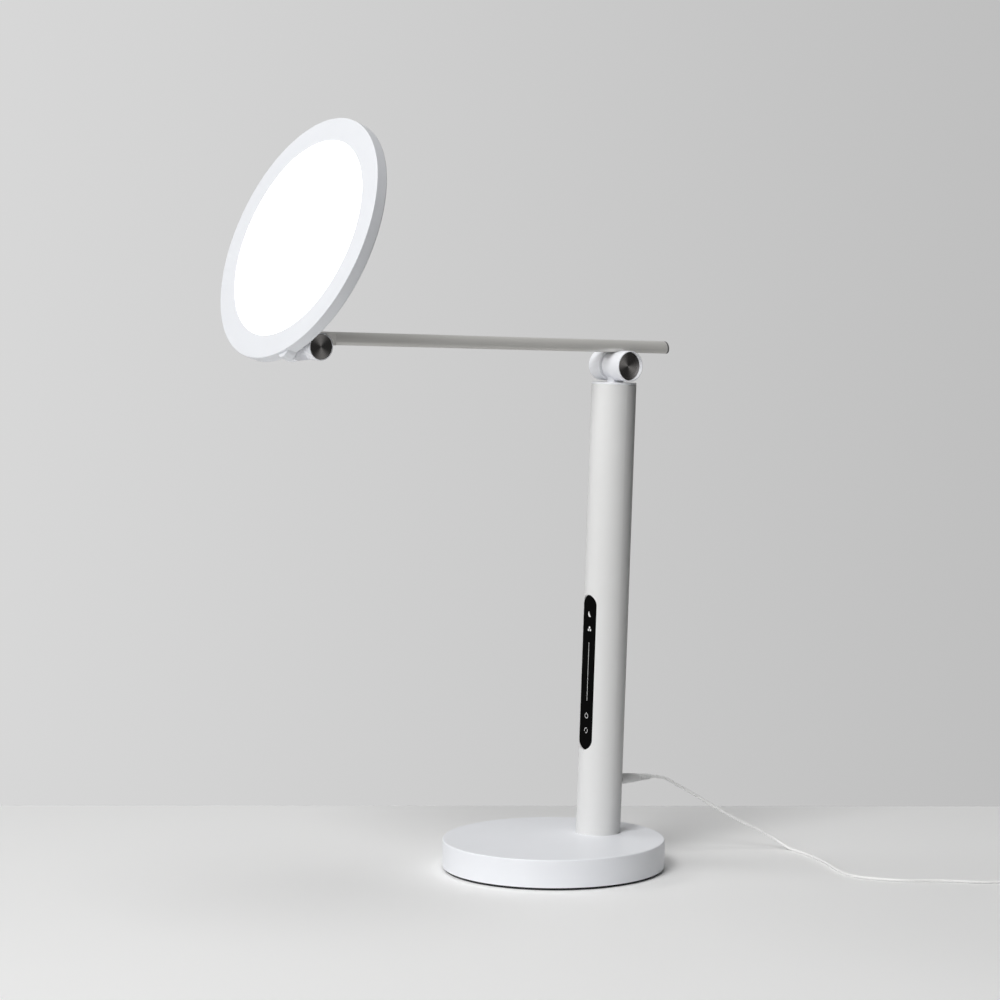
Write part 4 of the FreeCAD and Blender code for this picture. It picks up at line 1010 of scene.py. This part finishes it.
class LAMP_OT_stage(bpy.types.Operator):
    """Table top, background, soft lamps and the camera"""

    bl_idname = "lamp.stage"
    bl_label = "Stage"

    def execute(self, context):
        settings = context.scene.lamp_stage
        context.scene.view_settings.view_transform = "Standard"
        self.camera(context)
        self.floor(settings)
        self.world(context, settings)
        for name, place in LAMPS.items():
            self.lamp(name, getattr(settings, name + "_power"), place)
        return {"FINISHED"}

    def camera(self, context):
        """A long lens that looks a little down at the lamp's front and near side."""
        data = bpy.data.cameras.new("camera")
        data.sensor_width = 36.0
        data.lens = 108.0
        data.clip_start = 0.05
        data.clip_end = 50.0
        camera = bpy.data.objects.new("camera", data)
        context.scene.collection.objects.link(camera)
        inward = Vector((-math.sin(CAMERA_AROUND), math.cos(CAMERA_AROUND), 0.0))
        ahead = inward * math.cos(CAMERA_DOWN) - Vector((0.0, 0.0, math.sin(CAMERA_DOWN)))
        level = Vector((math.cos(CAMERA_AROUND), math.sin(CAMERA_AROUND), 0.0))
        upright = level.cross(ahead)
        right = level * math.cos(CAMERA_ROLL) + upright * math.sin(CAMERA_ROLL)
        up = upright * math.cos(CAMERA_ROLL) - level * math.sin(CAMERA_ROLL)
        turn = Matrix((right, up, -ahead)).transposed()
        camera.matrix_world = Matrix.Translation(CAMERA_PLACE) @ turn.to_4x4()
        context.scene.camera = camera

    def floor(self, settings):
        """A table top whose far edge runs square to the view."""
        clear_selection()
        bpy.ops.mesh.primitive_cube_add(size=1.0)
        floor = bpy.context.object
        floor.name = "floor"
        floor.scale = (TABLE_RIGHT - TABLE_LEFT, TABLE_FAR - TABLE_NEAR, TABLE_THICKNESS)
        floor.rotation_euler = (0, 0, CAMERA_AROUND)
        middle = Vector((TABLE_LEFT + TABLE_RIGHT, TABLE_NEAR + TABLE_FAR, -TABLE_THICKNESS)) / 2
        middle.rotate(Euler((0, 0, CAMERA_AROUND)))
        floor.location = middle
        bpy.ops.object.transform_apply(location=True, rotation=True, scale=True)
        finish = Finish("floor_laminate")
        cloud = finish.noise(0.35, 2.0, 0.5)
        grain = finish.noise(0.5 * MM, 2.0, 0.6)
        shade = finish.mix(cloud, tint(settings.floor, 0.985), tint(settings.floor, 1.01))
        floor.data.materials.append(finish.shade(shade, 0.55, 0.0, finish.bump(grain, 0.004 * MM)))

    def world(self, context, settings):
        """A pale wall, darker towards the right, that the camera and reflections see, and an even light."""
        world = bpy.data.worlds.new("studio")
        context.scene.world = world
        world.use_nodes = True
        graph = Graph(world.node_tree)
        ray = [graph.node("ShaderNodeLightPath", output="Is %s Ray" % kind) for kind in RAYS_THAT_SEE]
        seen = ray[0].join("MAXIMUM", ray[0], ray[1].join("MAXIMUM", ray[1], ray[2]))
        ahead = graph.node("ShaderNodeTexCoord", output="Generated")
        aside = graph.node(
            "ShaderNodeVectorMath",
            {"operation": "DOT_PRODUCT"},
            {0: ahead, 1: (math.cos(CAMERA_AROUND), math.sin(CAMERA_AROUND), 0.0)},
            "Value",
        )
        half_blend = 0.45
        share = graph.ramp(aside, -half_blend, half_blend)
        shade = graph.mix(share, settings.wall_left, settings.wall_right)
        wall = graph.node("ShaderNodeBackground", None, {"Color": shade, "Strength": 1.0})
        white = (1, 1, 1, 1)
        air = graph.node("ShaderNodeBackground", None, {"Color": white, "Strength": settings.ambient})
        surface = graph.node("ShaderNodeMixShader", None, {0: seen, 1: air, 2: wall})
        graph.finish("ShaderNodeOutputWorld", surface)

    def lamp(self, name, power, place):
        """A soft round lamp that looks at the middle of the object."""
        data = bpy.data.lights.new(name, "AREA")
        data.shape = "DISK"
        data.size = LAMP_SIZE
        data.energy = power
        lamp = bpy.data.objects.new(name, data)
        bpy.context.scene.collection.objects.link(lamp)
        lamp.location = place
        lamp.rotation_euler = (AIM - Vector(place)).to_track_quat("-Z", "Y").to_euler()


class LAMP_PT_panel(bpy.types.Panel):
    """Lists the lamp's operators and settings"""

    bl_idname = "LAMP_PT_panel"
    bl_label = "Light therapy lamp"
    bl_space_type = "VIEW_3D"
    bl_region_type = "UI"
    bl_category = "Lamp"

    def draw(self, context):
        for operator in OPERATORS:
            self.layout.operator(operator.bl_idname)
        for name, group in SETTINGS.items():
            box = self.layout.box()
            for setting in group.__annotations__:
                box.prop(getattr(context.scene, name), setting)


SETTINGS = {
    "lamp_finishes": LampFinishSettings,
    "lamp_cord": LampCordSettings,
    "lamp_caps": LampCapSettings,
    "lamp_icons": LampIconSettings,
    "lamp_stage": LampStageSettings,
}
OPERATORS = (LAMP_OT_stage, LAMP_OT_finishes, LAMP_OT_plug, LAMP_OT_cord, LAMP_OT_caps, LAMP_OT_icons)


def register():
    for group in (*SETTINGS.values(), *OPERATORS, LAMP_PT_panel):
        bpy.utils.register_class(group)
    for name, group in SETTINGS.items():
        setattr(bpy.types.Scene, name, bpy.props.PointerProperty(type=group))


def unregister():
    for name in SETTINGS:
        delattr(bpy.types.Scene, name)
    for group in reversed((*SETTINGS.values(), *OPERATORS, LAMP_PT_panel)):
        bpy.utils.unregister_class(group)


def main():
    register()
    bpy.ops.lamp.stage()
    bpy.ops.lamp.finishes()
    bpy.ops.lamp.plug()
    bpy.ops.lamp.cord()
    bpy.ops.lamp.caps()
    bpy.ops.lamp.icons()


if __name__ == "__main__":
    main()
